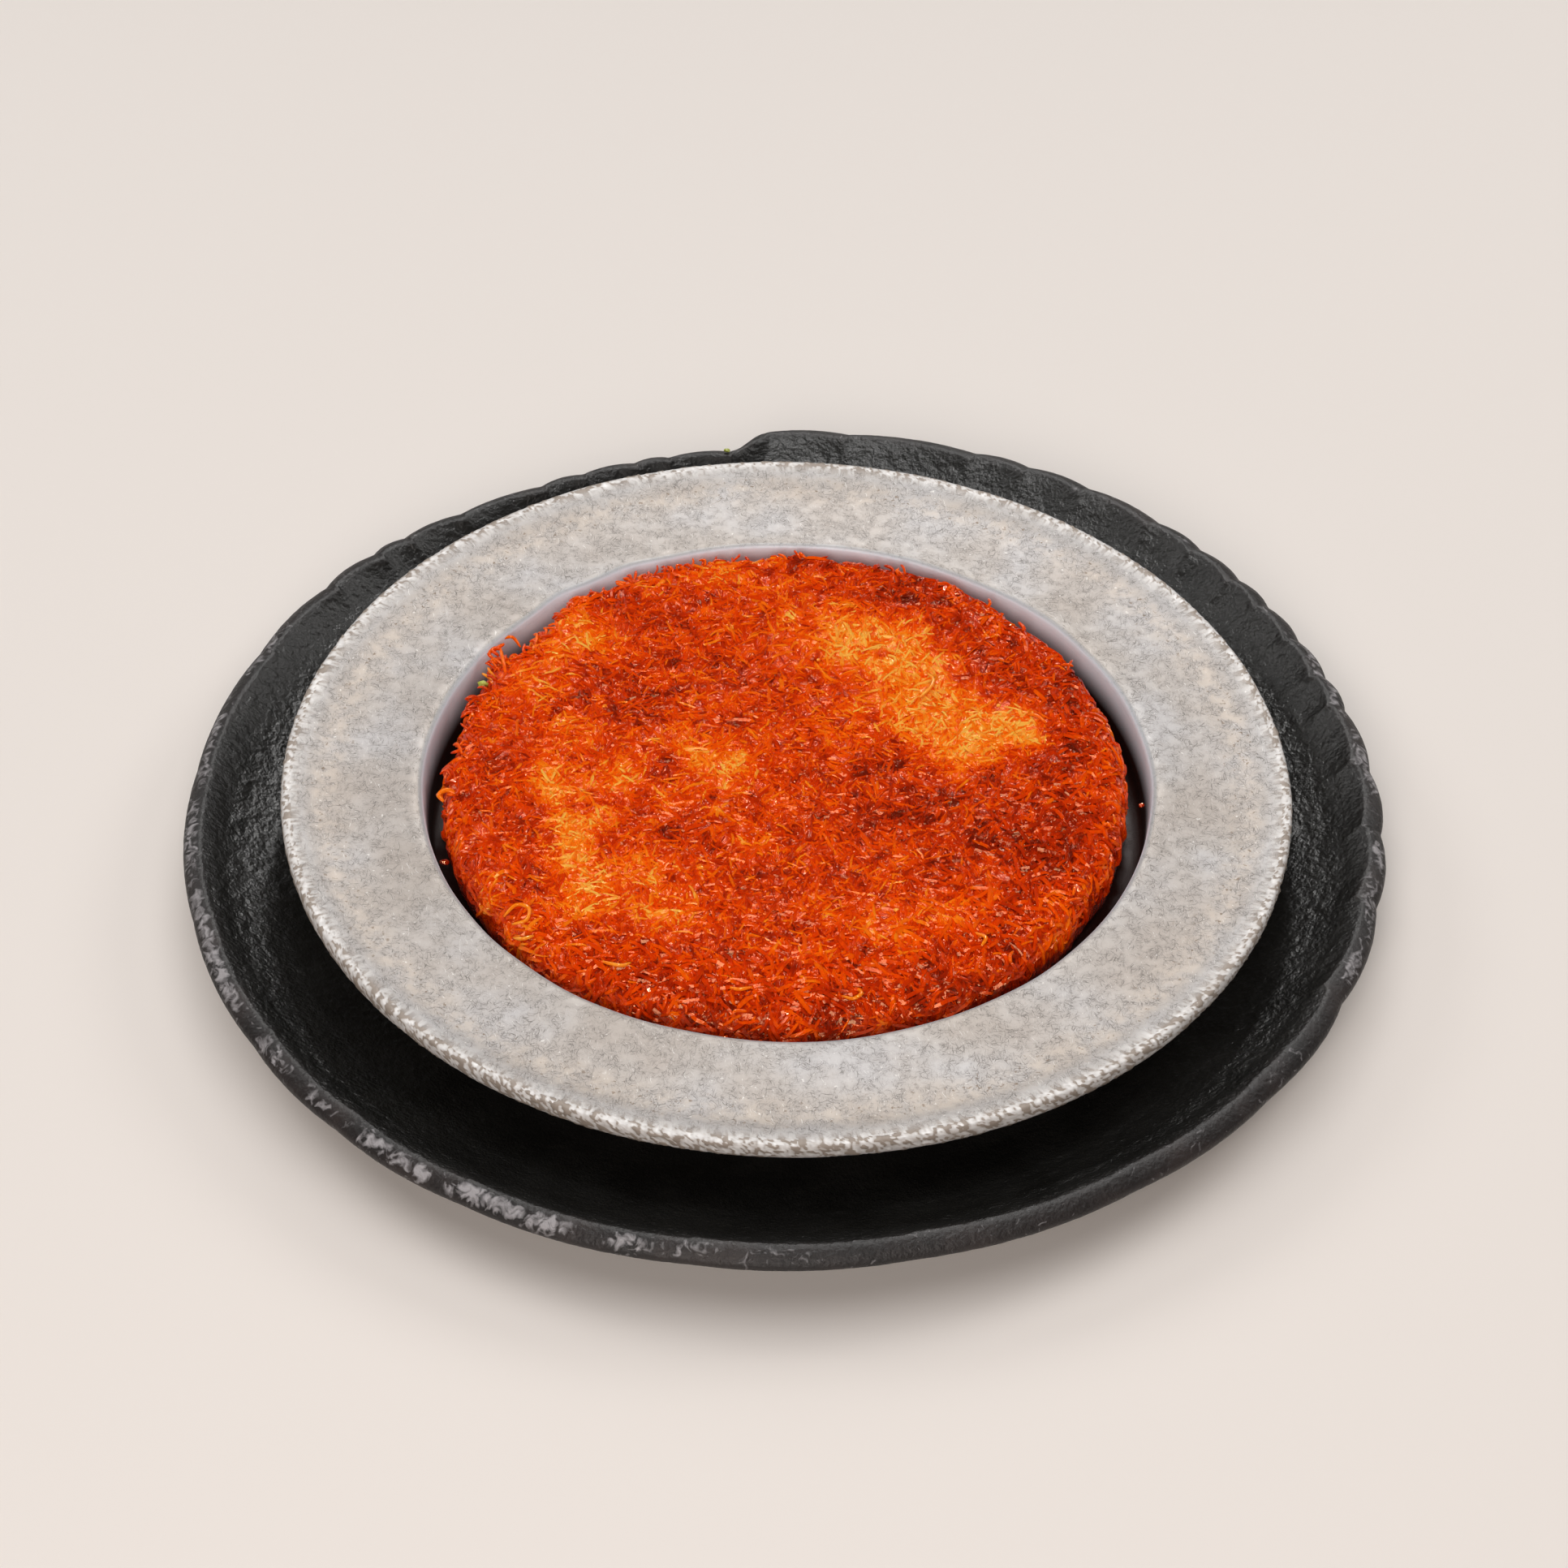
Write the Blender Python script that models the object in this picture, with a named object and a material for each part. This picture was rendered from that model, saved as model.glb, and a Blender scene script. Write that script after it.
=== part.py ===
"""Kunafa baked in its hammered aluminium dish, on a dark stone-look underplate.

Lengths are in metres, +Z is up and +Y points away from the person who eats.
The origin is the middle of the underplate's box, on the table.
"""

import math
import random

import bmesh
import bpy
from mathutils import Vector, noise

MM = 0.001
CLEARANCE = 0.3 * MM

# Underplate: a shallow plate with a chipped, bevelled rim
UNDERPLATE_RADIUS = 134.4 * MM
UNDERPLATE_HEIGHT = 18.0 * MM
UNDERPLATE_FLOOR = 5.2 * MM
UNDERPLATE_FOOT_RADIUS = 96.0 * MM
RIM_BAND_WIDTH = 4.8 * MM
RIM_BAND_DROP = 2.4 * MM
RIM_EDGE_THICKNESS = 1.8 * MM
UNDERPLATE_SEGMENTS = 108

# The rim swells out at the back right, is drawn in at the back left and is fuller in front
BACK_RIGHT_SWELL = 3.6 * MM
BACK_LEFT_DRAW = 3.7 * MM
FRONT_SWELL = 0.5 * MM
SCALLOP_DEPTH = 1.1 * MM
# Where one chip of the rim meets the next, in degrees from +X
CHIP_ENDS = (
    4, 13, 18, 24, 30, 35, 41, 47, 56, 63, 69, 83, 92, 96, 103, 107, 113, 118,
    128, 135, 139, 146, 158, 176, 197, 214, 227, 241, 262, 281, 302, 318, 332, 345, 355,
)

# Dish: a sheet aluminium pan with a wide flange and a hammered outer edge
DISH_CENTRE = Vector((0.7 * MM, 0.0, 0.0))
DISH_RADIUS = 112.3 * MM
DISH_SHEET = 2.0 * MM
DISH_BOTTOM = UNDERPLATE_FLOOR + CLEARANCE
WELL_RADIUS = 81.5 * MM
WELL_EDGE_HEIGHT = 23.8 * MM
WELL_FLOOR = DISH_BOTTOM + DISH_SHEET
WELL_TAPER = 1.1 * MM
WELL_CORNER = 3.4 * MM
WELL_EDGE_ROUNDING = 1.2 * MM
FLANGE_TURN_RADIUS = 105.0 * MM
LIP_HEIGHT = 25.7 * MM
LIP_THICKNESS = 3.6 * MM
LIP_ROUGHNESS = 0.3 * MM
DISH_SEGMENTS = 64
# The flange is bent down a little towards the right
FLANGE_LEAN = math.radians(1.0)

# Kunafa: a flat cake of matted pastry shreds
KUNAFA_CENTRE = Vector((0.2 * MM, 0.0, 0.0))
KUNAFA_TOP = 23.4 * MM
KUNAFA_BOTTOM = WELL_FLOOR + CLEARANCE
KUNAFA_PLATEAU_RADIUS = 72.4 * MM
KUNAFA_SHOULDER_RADIUS = 75.2 * MM
KUNAFA_WAIST_RADIUS = 76.8 * MM
KUNAFA_RINGS = 18
CRUST_WAVE = 0.55 * MM
CRUST_GRAIN = 0.3 * MM
EDGE_WAVE = 0.7 * MM
# Bites that the crumbling edge has lost: degrees from +X, half width, depth
EDGE_NOTCHES = ((78.0, 3.0, 1.9 * MM), (171.0, 6.0, 2.0 * MM), (113.0, 4.0, 1.0 * MM))

# Shreds that show on the crust
SHRED_WIDTH = 1.2 * MM
SHRED_RISE = 0.55 * MM
SHRED_DIP = 0.5 * MM
TOP_SHREDS = 84
EDGE_SHREDS = 30
CLUMP_SHREDS = 7
CLUMP_DIRECTION = math.radians(150.0)
SHRED_REACH = WELL_RADIUS - WELL_TAPER - CLEARANCE - 0.9 * MM
GOLDEN_ANGLE = math.pi * (3.0 - math.sqrt(5.0))
SEED = 27

ALUMINIUM_COLOUR = (0.62, 0.60, 0.57)
STONE_COLOUR = (0.016, 0.016, 0.017)
CRUST_COLOUR = (0.60, 0.12, 0.012)


def clear_scene():
    for thing in list(bpy.data.objects):
        bpy.data.objects.remove(thing, do_unlink=True)


def smooth_ramp(value, start, end):
    """Rises from 0 at start to 1 at end, with a soft foot and head."""
    share = min(max((value - start) / (end - start), 0.0), 1.0)
    return share * share * (3.0 - 2.0 * share)


def make_material(name, colour, roughness, metallic):
    material = bpy.data.materials.new(name)
    material.use_nodes = True
    shader = material.node_tree.nodes["Principled BSDF"]
    shader.inputs["Base Color"].default_value = (*colour, 1.0)
    shader.inputs["Roughness"].default_value = roughness
    shader.inputs["Metallic"].default_value = metallic
    material.diffuse_color = (*colour, 1.0)
    return material


def add_object(name, bm, material):
    """Turns a finished bmesh into a named object with outward faces."""
    bmesh.ops.recalc_face_normals(bm, faces=bm.faces)
    mesh = bpy.data.meshes.new(name)
    bm.to_mesh(mesh)
    bm.free()
    mesh.materials.append(material)
    thing = bpy.data.objects.new(name, mesh)
    bpy.context.collection.objects.link(thing)
    return thing


def polar(radius, angle, height):
    return Vector((radius * math.cos(angle), radius * math.sin(angle), height))


def join_rings(bm, first, second):
    for step in range(len(first)):
        ahead = (step + 1) % len(first)
        bm.faces.new((first[step], second[step], second[ahead], first[ahead]))


def cap_ring(bm, ring, tip):
    for step in range(len(ring)):
        bm.faces.new((ring[step], ring[(step + 1) % len(ring)], tip))


def revolved_bmesh(profile, segments, place):
    """Spins a profile whose first and last points lie on the axis.

    place(radius, height, angle, share) gives a point its real position, where
    share is the profile row's own third value."""
    bm = bmesh.new()
    rings = []
    for radius, height, share in profile[1:-1]:
        angles = [math.tau * step / segments for step in range(segments)]
        rings.append([bm.verts.new(place(radius, height, angle, share)) for angle in angles])
    for first, second in zip(rings, rings[1:]):
        join_rings(bm, first, second)
    for ring, (_, height, _) in ((rings[0], profile[0]), (rings[-1], profile[-1])):
        cap_ring(bm, ring, bm.verts.new((0.0, 0.0, height)))
    return bm


def shade_smooth(thing, crease_degrees):
    bpy.context.view_layer.objects.active = thing
    thing.select_set(True)
    bpy.ops.object.shade_smooth_by_angle(angle=math.radians(crease_degrees))
    thing.select_set(False)


def scallop(degrees):
    """Each chip bulges out between its two ends: 0 at an end, 1 in the middle."""
    ends = CHIP_ENDS + (CHIP_ENDS[0] + 360,)
    value = degrees if degrees >= ends[0] else degrees + 360.0
    for start, end in zip(ends, ends[1:]):
        if start <= value <= end:
            return math.sin(math.pi * (value - start) / (end - start)) ** 0.8
    return 0.0


def rim_offset(angle):
    """How far the chipped rim stands out from its mean circle."""
    degrees = math.degrees(angle) % 360.0
    step_in = smooth_ramp(degrees, 91.5, 95.5)
    back_right = smooth_ramp(degrees, 15.0, 62.0) * (1.0 - step_in)
    back_left = step_in * (1.0 - smooth_ramp(degrees, 118.0, 145.0))
    front = smooth_ramp(degrees, 205.0, 245.0) * (1.0 - smooth_ramp(degrees, 318.0, 352.0))
    worn = smooth_ramp(degrees, 148.0, 165.0) * (1.0 - smooth_ramp(degrees, 318.0, 335.0))
    chips = SCALLOP_DEPTH * (1.0 - 0.6 * worn) * (scallop(degrees) - 0.5)
    return BACK_RIGHT_SWELL * back_right - BACK_LEFT_DRAW * back_left + FRONT_SWELL * front + chips


def make_underplate():
    crease = UNDERPLATE_RADIUS - RIM_BAND_WIDTH
    top = UNDERPLATE_HEIGHT
    edge = top - RIM_BAND_DROP
    # Rows: radius, height, share of the rim's offset
    profile = (
        (0.0, UNDERPLATE_FLOOR, 0.0),
        (60.0 * MM, UNDERPLATE_FLOOR, 0.0),
        (UNDERPLATE_FOOT_RADIUS, UNDERPLATE_FLOOR, 0.0),
        (106.0 * MM, 6.2 * MM, 0.1),
        (115.0 * MM, 9.0 * MM, 0.4),
        (crease - 6.5 * MM, top - 5.0 * MM, 0.7),
        (crease - 1.2 * MM, top - 0.9 * MM, 0.9),
        (crease + 0.8 * MM, top, 0.95),
        (crease + 0.6 * RIM_BAND_WIDTH, top - 0.4 * RIM_BAND_DROP, 1.0),
        (UNDERPLATE_RADIUS, edge, 1.0),
        (UNDERPLATE_RADIUS - 0.5 * MM, edge - RIM_EDGE_THICKNESS, 1.0),
        (crease - 3.0 * MM, edge - 5.0 * MM, 0.6),
        (108.0 * MM, 2.4 * MM, 0.1),
        (UNDERPLATE_FOOT_RADIUS, 0.0, 0.0),
        (0.0, 0.0, 0.0),
    )

    def place(radius, height, angle, share):
        return polar(radius + share * rim_offset(angle), angle, height)

    stone = make_material("stone_glaze", STONE_COLOUR, 0.55, 0.0)
    bm = revolved_bmesh(profile, UNDERPLATE_SEGMENTS, place)
    underplate = add_object("underplate", bm, stone)
    shade_smooth(underplate, 40.0)
    return underplate


def make_dish(rng):
    well_floor_radius = WELL_RADIUS - WELL_TAPER - WELL_CORNER
    under = WELL_EDGE_HEIGHT - DISH_SHEET
    outside = WELL_RADIUS + DISH_SHEET
    # Rows: radius, height, share of the flange's lean
    profile = (
        (0.0, WELL_FLOOR, 0.0),
        (well_floor_radius, WELL_FLOOR, 0.0),
        (well_floor_radius + 0.7 * WELL_CORNER, WELL_FLOOR + 0.3 * WELL_CORNER, 0.0),
        (WELL_RADIUS - WELL_TAPER, WELL_FLOOR + WELL_CORNER, 0.0),
        (WELL_RADIUS - 0.2 * WELL_TAPER, WELL_EDGE_HEIGHT - 2.0 * WELL_EDGE_ROUNDING, 0.4),
        (WELL_RADIUS + 0.3 * WELL_EDGE_ROUNDING, WELL_EDGE_HEIGHT - 0.7 * WELL_EDGE_ROUNDING, 0.45),
        (WELL_RADIUS + 1.4 * WELL_EDGE_ROUNDING, WELL_EDGE_HEIGHT, 0.5),
        (96.0 * MM, WELL_EDGE_HEIGHT - 0.1 * MM, 0.7),
        (FLANGE_TURN_RADIUS - 1.0 * MM, WELL_EDGE_HEIGHT + 0.3 * MM, 0.85),
        (FLANGE_TURN_RADIUS + 2.0 * MM, LIP_HEIGHT - 0.7 * MM, 0.9),
        (DISH_RADIUS - 1.6 * MM, LIP_HEIGHT, 1.0),
        (DISH_RADIUS - 0.3 * MM, LIP_HEIGHT - 0.5 * MM, 1.0),
        (DISH_RADIUS, LIP_HEIGHT - 0.5 * LIP_THICKNESS, 1.0),
        (DISH_RADIUS - 0.8 * MM, LIP_HEIGHT - LIP_THICKNESS, 1.0),
        (FLANGE_TURN_RADIUS + 2.5 * MM, LIP_HEIGHT - LIP_THICKNESS + 0.2 * MM, 0.9),
        (FLANGE_TURN_RADIUS - 1.0 * MM, under + 0.2 * MM, 0.85),
        (96.0 * MM, under - 0.1 * MM, 0.7),
        (outside + WELL_EDGE_ROUNDING, under, 0.5),
        (outside, under - WELL_EDGE_ROUNDING, 0.45),
        (outside - WELL_TAPER, DISH_BOTTOM + 1.4 * WELL_CORNER, 0.0),
        (outside - WELL_TAPER - 0.35 * WELL_CORNER, DISH_BOTTOM + 0.35 * WELL_CORNER, 0.0),
        (outside - WELL_TAPER - 1.3 * WELL_CORNER, DISH_BOTTOM, 0.0),
        (0.0, DISH_BOTTOM, 0.0),
    )

    def place(radius, height, angle, share):
        hammered = radius > DISH_RADIUS - 2.0 * MM
        dent = rng.uniform(-LIP_ROUGHNESS, LIP_ROUGHNESS) if hammered else 0.0
        lean = share * math.sin(FLANGE_LEAN) * radius * math.cos(angle)
        return polar(radius + dent, angle, height - lean + 0.5 * dent)

    aluminium = make_material("worn_aluminium", ALUMINIUM_COLOUR, 0.42, 1.0)
    dish = add_object("metal_dish", revolved_bmesh(profile, DISH_SEGMENTS, place), aluminium)
    dish.location = DISH_CENTRE
    shade_smooth(dish, 35.0)
    return dish


def edge_offset(angle):
    """The kunafa's uneven outline, with the bites that crumbled away."""
    around = Vector((3.0 * math.cos(angle), 3.0 * math.sin(angle), 5.0))
    offset = EDGE_WAVE * 2.0 * noise.noise(around) + EDGE_WAVE * noise.noise(3.0 * around)
    degrees = math.degrees(angle) % 360.0
    for centre, half_width, depth in EDGE_NOTCHES:
        offset -= depth * math.exp(-(((degrees - centre) / half_width) ** 2))
    return offset


def crust_height(x, y):
    """Height of the matted crust over the kunafa's own centre."""
    spot = Vector((x, y, 0.0)) / (6.5 * MM)
    wave = noise.noise(spot) + 0.6 * noise.noise(spot / 3.0 + Vector((0.0, 0.0, 7.0)))
    return KUNAFA_TOP + CRUST_WAVE * wave


def even_disc(bm, ring_count, place):
    """Triangles of even size, with 6k points in ring k. Returns the last ring."""
    inner = [bm.verts.new(place(0.0, 0.0))]
    for ring in range(1, ring_count + 1):
        count = 6 * ring
        outer = [bm.verts.new(place(ring / ring_count, math.tau * n / count)) for n in range(count)]
        for sector in range(6):
            for step in range(ring):
                near = inner[(sector * (ring - 1) + step) % len(inner)]
                far = outer[sector * ring + step]
                far_ahead = outer[(sector * ring + step + 1) % count]
                bm.faces.new((near, far, far_ahead))
                if step < ring - 1:
                    near_ahead = inner[(sector * (ring - 1) + step + 1) % len(inner)]
                    bm.faces.new((near, far_ahead, near_ahead))
        inner = outer
    return inner


def make_core(rng, crust):
    """The cake itself, with bumps of the shreds' size over its top and side."""
    def top_place(share, angle):
        radius = share * (KUNAFA_PLATEAU_RADIUS + share ** 8 * edge_offset(angle))
        point = polar(radius, angle, 0.0)
        point.z = crust_height(point.x, point.y) + rng.uniform(-CRUST_GRAIN, CRUST_GRAIN)
        return point

    bm = bmesh.new()
    ring = even_disc(bm, KUNAFA_RINGS, top_place)
    side = (
        (KUNAFA_SHOULDER_RADIUS, KUNAFA_TOP - 1.5 * MM, 0.35 * MM),
        (KUNAFA_SHOULDER_RADIUS + 1.0 * MM, KUNAFA_TOP - 4.2 * MM, 0.4 * MM),
        (KUNAFA_WAIST_RADIUS, KUNAFA_TOP - 8.5 * MM, 0.4 * MM),
        (KUNAFA_WAIST_RADIUS - 0.3 * MM, KUNAFA_TOP - 12.0 * MM, 0.3 * MM),
        (KUNAFA_WAIST_RADIUS - 1.8 * MM, KUNAFA_BOTTOM, 0.0),
    )
    for radius, height, grain in side:
        lower = []
        for step in range(len(ring)):
            angle = math.tau * step / len(ring)
            reach = radius + edge_offset(angle) + rng.uniform(-grain, grain)
            lower.append(bm.verts.new(polar(reach, angle, height + rng.uniform(-grain, grain))))
        join_rings(bm, ring, lower)
        ring = lower
    cap_ring(bm, ring, bm.verts.new((0.0, 0.0, KUNAFA_BOTTOM)))
    return add_object("kunafa", bm, crust)


def inside_well(point):
    """Draws a point in until it clears the wall of the dish's well."""
    shift = DISH_CENTRE - KUNAFA_CENTRE
    flat = Vector((point.x - shift.x, point.y - shift.y, 0.0))
    if flat.length > SHRED_REACH:
        flat *= SHRED_REACH / flat.length
    return Vector((flat.x + shift.x, flat.y + shift.y, point.z))


def shred_bmesh(points, width):
    """A three-sided strand along the points, tapered at both ends."""
    bm = bmesh.new()
    rings = []
    for index, point in enumerate(points):
        before = points[max(index - 1, 0)]
        after = points[min(index + 1, len(points) - 1)]
        along = (after - before).normalized()
        aside = along.cross(Vector((0.0, 0.0, 1.0))).normalized()
        above = aside.cross(along)
        girth = width * (0.62 if index in (0, len(points) - 1) else 1.0)
        corners = (aside * 0.5 - above * 0.3, above * 0.45, -aside * 0.5 - above * 0.3)
        rings.append([bm.verts.new(point + girth * corner) for corner in corners])
    for first, second in zip(rings, rings[1:]):
        join_rings(bm, first, second)
    bm.faces.new(rings[0])
    bm.faces.new(rings[-1])
    return bm


def top_shred_points(rng, share, angle):
    """A gently curved strand that lies in the crust."""
    centre = polar((KUNAFA_PLATEAU_RADIUS - 2.0 * MM) * share, angle, 0.0)
    heading = rng.uniform(0.0, math.tau)
    bend = rng.uniform(-0.5, 0.5)
    half = rng.uniform(3.0, 6.0) * MM
    points = []
    for part in (-1.0, -0.35, 0.35, 1.0):
        turn = heading + bend * part
        spot = centre + polar(half * part, turn, 0.0)
        lift = SHRED_RISE if abs(part) < 1.0 else -SHRED_DIP
        spot.z = crust_height(spot.x, spot.y) + lift
        points.append(inside_well(spot))
    return points


def edge_shred_points(rng, angle, reach):
    """A strand that starts inside the rim of the cake and sticks out of it."""
    side = rng.uniform(-0.05, 0.05)
    drop = rng.uniform(0.0, 3.5) * MM
    start = polar(KUNAFA_PLATEAU_RADIUS - 2.5 * MM, angle, KUNAFA_TOP - 0.4 * MM - 0.4 * drop)
    middle = polar(KUNAFA_SHOULDER_RADIUS, angle + 0.5 * side, KUNAFA_TOP - 0.5 * MM - 0.7 * drop)
    end = polar(KUNAFA_SHOULDER_RADIUS + reach, angle + side, KUNAFA_TOP - 1.2 * MM - drop)
    return [start, middle, inside_well(end)]


def shred_paths(rng):
    for number in range(TOP_SHREDS):
        share = math.sqrt((number + 0.5) / TOP_SHREDS)
        yield top_shred_points(rng, share, number * GOLDEN_ANGLE)
    for number in range(EDGE_SHREDS):
        angle = math.tau * (number + rng.uniform(-0.3, 0.3)) / EDGE_SHREDS
        yield edge_shred_points(rng, angle, rng.uniform(1.0, 2.4) * MM)
    for number in range(CLUMP_SHREDS):
        angle = CLUMP_DIRECTION + 0.02 * (number - CLUMP_SHREDS / 2.0)
        yield edge_shred_points(rng, angle, rng.uniform(2.6, 3.8) * MM)


def keep_largest_body(bm):
    """Removes loose scraps that the union leaves beside the cake."""
    unseen = set(bm.verts)
    bodies = []
    while unseen:
        body = set()
        edge_of_search = [unseen.pop()]
        while edge_of_search:
            vertex = edge_of_search.pop()
            body.add(vertex)
            for edge in vertex.link_edges:
                other = edge.other_vert(vertex)
                if other in unseen:
                    unseen.remove(other)
                    edge_of_search.append(other)
        bodies.append(body)
    bodies.sort(key=len)
    for body in bodies[:-1]:
        bmesh.ops.delete(bm, geom=list(body), context="VERTS")


def fuse_shreds(core, rng, crust):
    """One union of the core with every strand."""
    strands = bpy.data.collections.new("strands")
    bpy.context.scene.collection.children.link(strands)
    for points in shred_paths(rng):
        strand = add_object("strand", shred_bmesh(points, SHRED_WIDTH), crust)
        bpy.context.collection.objects.unlink(strand)
        strands.objects.link(strand)
    union = core.modifiers.new("fused_strands", "BOOLEAN")
    union.operation = "UNION"
    union.operand_type = "COLLECTION"
    union.solver = "MANIFOLD"
    union.collection = strands
    bpy.context.view_layer.objects.active = core
    bpy.ops.object.modifier_apply(modifier=union.name)
    for strand in list(strands.objects):
        bpy.data.objects.remove(strand, do_unlink=True)
    bpy.data.collections.remove(strands)

    bm = bmesh.new()
    bm.from_mesh(core.data)
    keep_largest_body(bm)
    bmesh.ops.triangulate(bm, faces=bm.faces)
    bm.to_mesh(core.data)
    bm.free()


def make_kunafa(rng):
    crust = make_material("baked_pastry", CRUST_COLOUR, 0.3, 0.0)
    kunafa = make_core(rng, crust)
    fuse_shreds(kunafa, rng, crust)
    kunafa.location = KUNAFA_CENTRE
    return kunafa


def centre_on_box(things, guide):
    """Moves everything so that the guide's box is centred over the origin."""
    xs = [vertex.co.x for vertex in guide.data.vertices]
    ys = [vertex.co.y for vertex in guide.data.vertices]
    middle = Vector(((min(xs) + max(xs)) / 2.0, (min(ys) + max(ys)) / 2.0, 0.0))
    for thing in things:
        thing.location -= middle
    print("centre of the round pieces:", [round(-value / MM, 2) for value in middle.xy])


def main():
    clear_scene()
    rng = random.Random(SEED)
    underplate = make_underplate()
    dish = make_dish(rng)
    kunafa = make_kunafa(rng)
    centre_on_box((underplate, dish, kunafa), underplate)
    for thing in (underplate, dish, kunafa):
        print(thing.name, len(thing.data.loop_triangles) or len(thing.data.polygons), "faces")


main()
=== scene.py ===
# %% [markdown]
# # Kunafa in its aluminium dish on a dark underplate
# This lesson dresses a finished construction model. The solids give every size and place,
# and the cells below add what the eye enjoys: a mat of syrup-soaked pastry shreds, worn
# hammered aluminium and a leathery black glaze with a chipped rim.

# %% Load the frame
import math
import random

import bmesh
import bpy
import numpy as np
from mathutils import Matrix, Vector, noise


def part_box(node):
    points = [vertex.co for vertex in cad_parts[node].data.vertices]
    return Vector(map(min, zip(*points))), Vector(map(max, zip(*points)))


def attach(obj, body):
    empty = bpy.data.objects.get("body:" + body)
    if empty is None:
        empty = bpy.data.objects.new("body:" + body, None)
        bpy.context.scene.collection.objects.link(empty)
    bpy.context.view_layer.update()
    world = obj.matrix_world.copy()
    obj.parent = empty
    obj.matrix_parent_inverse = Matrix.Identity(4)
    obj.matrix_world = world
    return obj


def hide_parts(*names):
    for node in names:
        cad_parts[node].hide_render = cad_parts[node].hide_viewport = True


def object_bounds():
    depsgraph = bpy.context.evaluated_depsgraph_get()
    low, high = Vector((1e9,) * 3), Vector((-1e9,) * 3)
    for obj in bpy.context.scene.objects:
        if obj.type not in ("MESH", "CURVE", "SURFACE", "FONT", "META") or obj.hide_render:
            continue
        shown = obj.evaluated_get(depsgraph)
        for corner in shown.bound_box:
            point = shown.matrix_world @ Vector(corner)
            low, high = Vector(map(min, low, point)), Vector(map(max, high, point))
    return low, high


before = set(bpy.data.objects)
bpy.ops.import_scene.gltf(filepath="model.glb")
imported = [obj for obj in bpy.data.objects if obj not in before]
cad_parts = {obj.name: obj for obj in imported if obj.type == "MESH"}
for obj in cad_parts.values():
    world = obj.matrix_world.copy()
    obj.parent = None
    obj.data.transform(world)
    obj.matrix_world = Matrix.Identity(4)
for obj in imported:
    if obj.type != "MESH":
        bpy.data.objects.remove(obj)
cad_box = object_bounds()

MM = 0.001
cad_low = np.array(cad_box[0], dtype=float)
cad_high = np.array(cad_box[1], dtype=float)
print("whole object, mm:", np.round((cad_high - cad_low) / MM, 1))

# %% [markdown]
# The three solids share one upright axis, apart from small shifts. The centre of the dish's
# box gives that axis, so every round piece below is built about it.

# %% Find the axis
dish_low, dish_high = (np.array(corner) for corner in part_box("metal_dish"))

DISH_SHIFT = 0.7 * MM
CAKE_SHIFT = 0.2 * MM
dish_axis = (dish_low + dish_high)[:2] / 2.0
axis = dish_axis - np.array((DISH_SHIFT, 0.0))
cake_axis = axis + np.array((CAKE_SHIFT, 0.0))
print("axis of the round pieces, mm:", np.round(axis / MM, 2))

# %% [markdown]
# Three helpers serve every cell: one turns a painter's hex colour into the linear light that
# shaders work in, one fills the inputs of a node, and one adds a node with its settings and
# links. A node can be handed on as it is: the output that is in use is then linked.

# %% Helpers for colour and nodes
def linear(hex_colour):
    """sRGB hex to linear RGBA."""
    channels = [int(hex_colour[place:place + 2], 16) / 255.0 for place in (1, 3, 5)]
    curved = [c / 12.92 if c <= 0.04045 else ((c + 0.055) / 1.055) ** 2.4 for c in channels]
    return (*curved, 1.0)


def fill(tree, node, inputs):
    """Gives inputs, by name or number, a plain value, a hex colour, a node or a node's output."""
    for key, value in inputs.items():
        socket = node.inputs[key] if isinstance(key, int) else next(
            each for each in node.inputs if each.name == key and each.enabled)
        if isinstance(value, bpy.types.Node):
            value = next(each for each in value.outputs if each.enabled)
        if isinstance(value, bpy.types.NodeSocket):
            tree.links.new(value, socket)
        else:
            socket.default_value = linear(value) if str(value).startswith("#") else value


def add(tree, kind, inputs=None, stops=(), **settings):
    """Adds a node. The stops of a colour ramp are pairs of a place and a hex colour."""
    made = tree.nodes.new(kind)
    for name, value in settings.items():
        setattr(made, name, value)
    fill(tree, made, inputs or {})
    for number, (place, colour) in enumerate(stops):
        elements = made.color_ramp.elements
        if number >= len(elements):
            elements.new(place)
        elements[number].position, elements[number].color = place, linear(colour)
    return made


def new_material(name):
    material = bpy.data.materials.new(name)
    material.use_nodes = True
    tree = material.node_tree
    return material, tree, tree.nodes["Principled BSDF"]


# %% Helpers for meshes
def smooth_ramp(value, start, end):
    share = np.clip((value - start) / (end - start), 0.0, 1.0)
    return share * share * (3.0 - 2.0 * share)


def noise_at(points, size, seed=0.0):
    """Smooth noise from -1 to 1 at each row of points, with features of the given size."""
    scaled = points / size + seed
    return np.array([noise.noise(Vector(row)) for row in scaled])


def mesh_object(name, coords, faces, material):
    mesh = bpy.data.meshes.new(name)
    mesh.from_pydata(coords.tolist(), [], faces)
    mesh.materials.append(material)
    mesh.polygons.foreach_set("use_smooth", [True] * len(mesh.polygons))
    mesh.update()
    thing = bpy.data.objects.new(name, mesh)
    bpy.context.collection.objects.link(thing)
    return thing


def point_attribute(thing, name, values):
    """Writes one number for each vertex."""
    layer = thing.data.attributes.new(name, "FLOAT", "POINT")
    layer.data.foreach_set("value", np.asarray(values, dtype=np.float32))


def coordinates(thing):
    flat = np.empty(len(thing.data.vertices) * 3)
    thing.data.vertices.foreach_get("co", flat)
    return flat.reshape(-1, 3)


def set_coordinates(thing, coords):
    thing.data.vertices.foreach_set("co", coords.ravel())
    thing.data.update()


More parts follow.
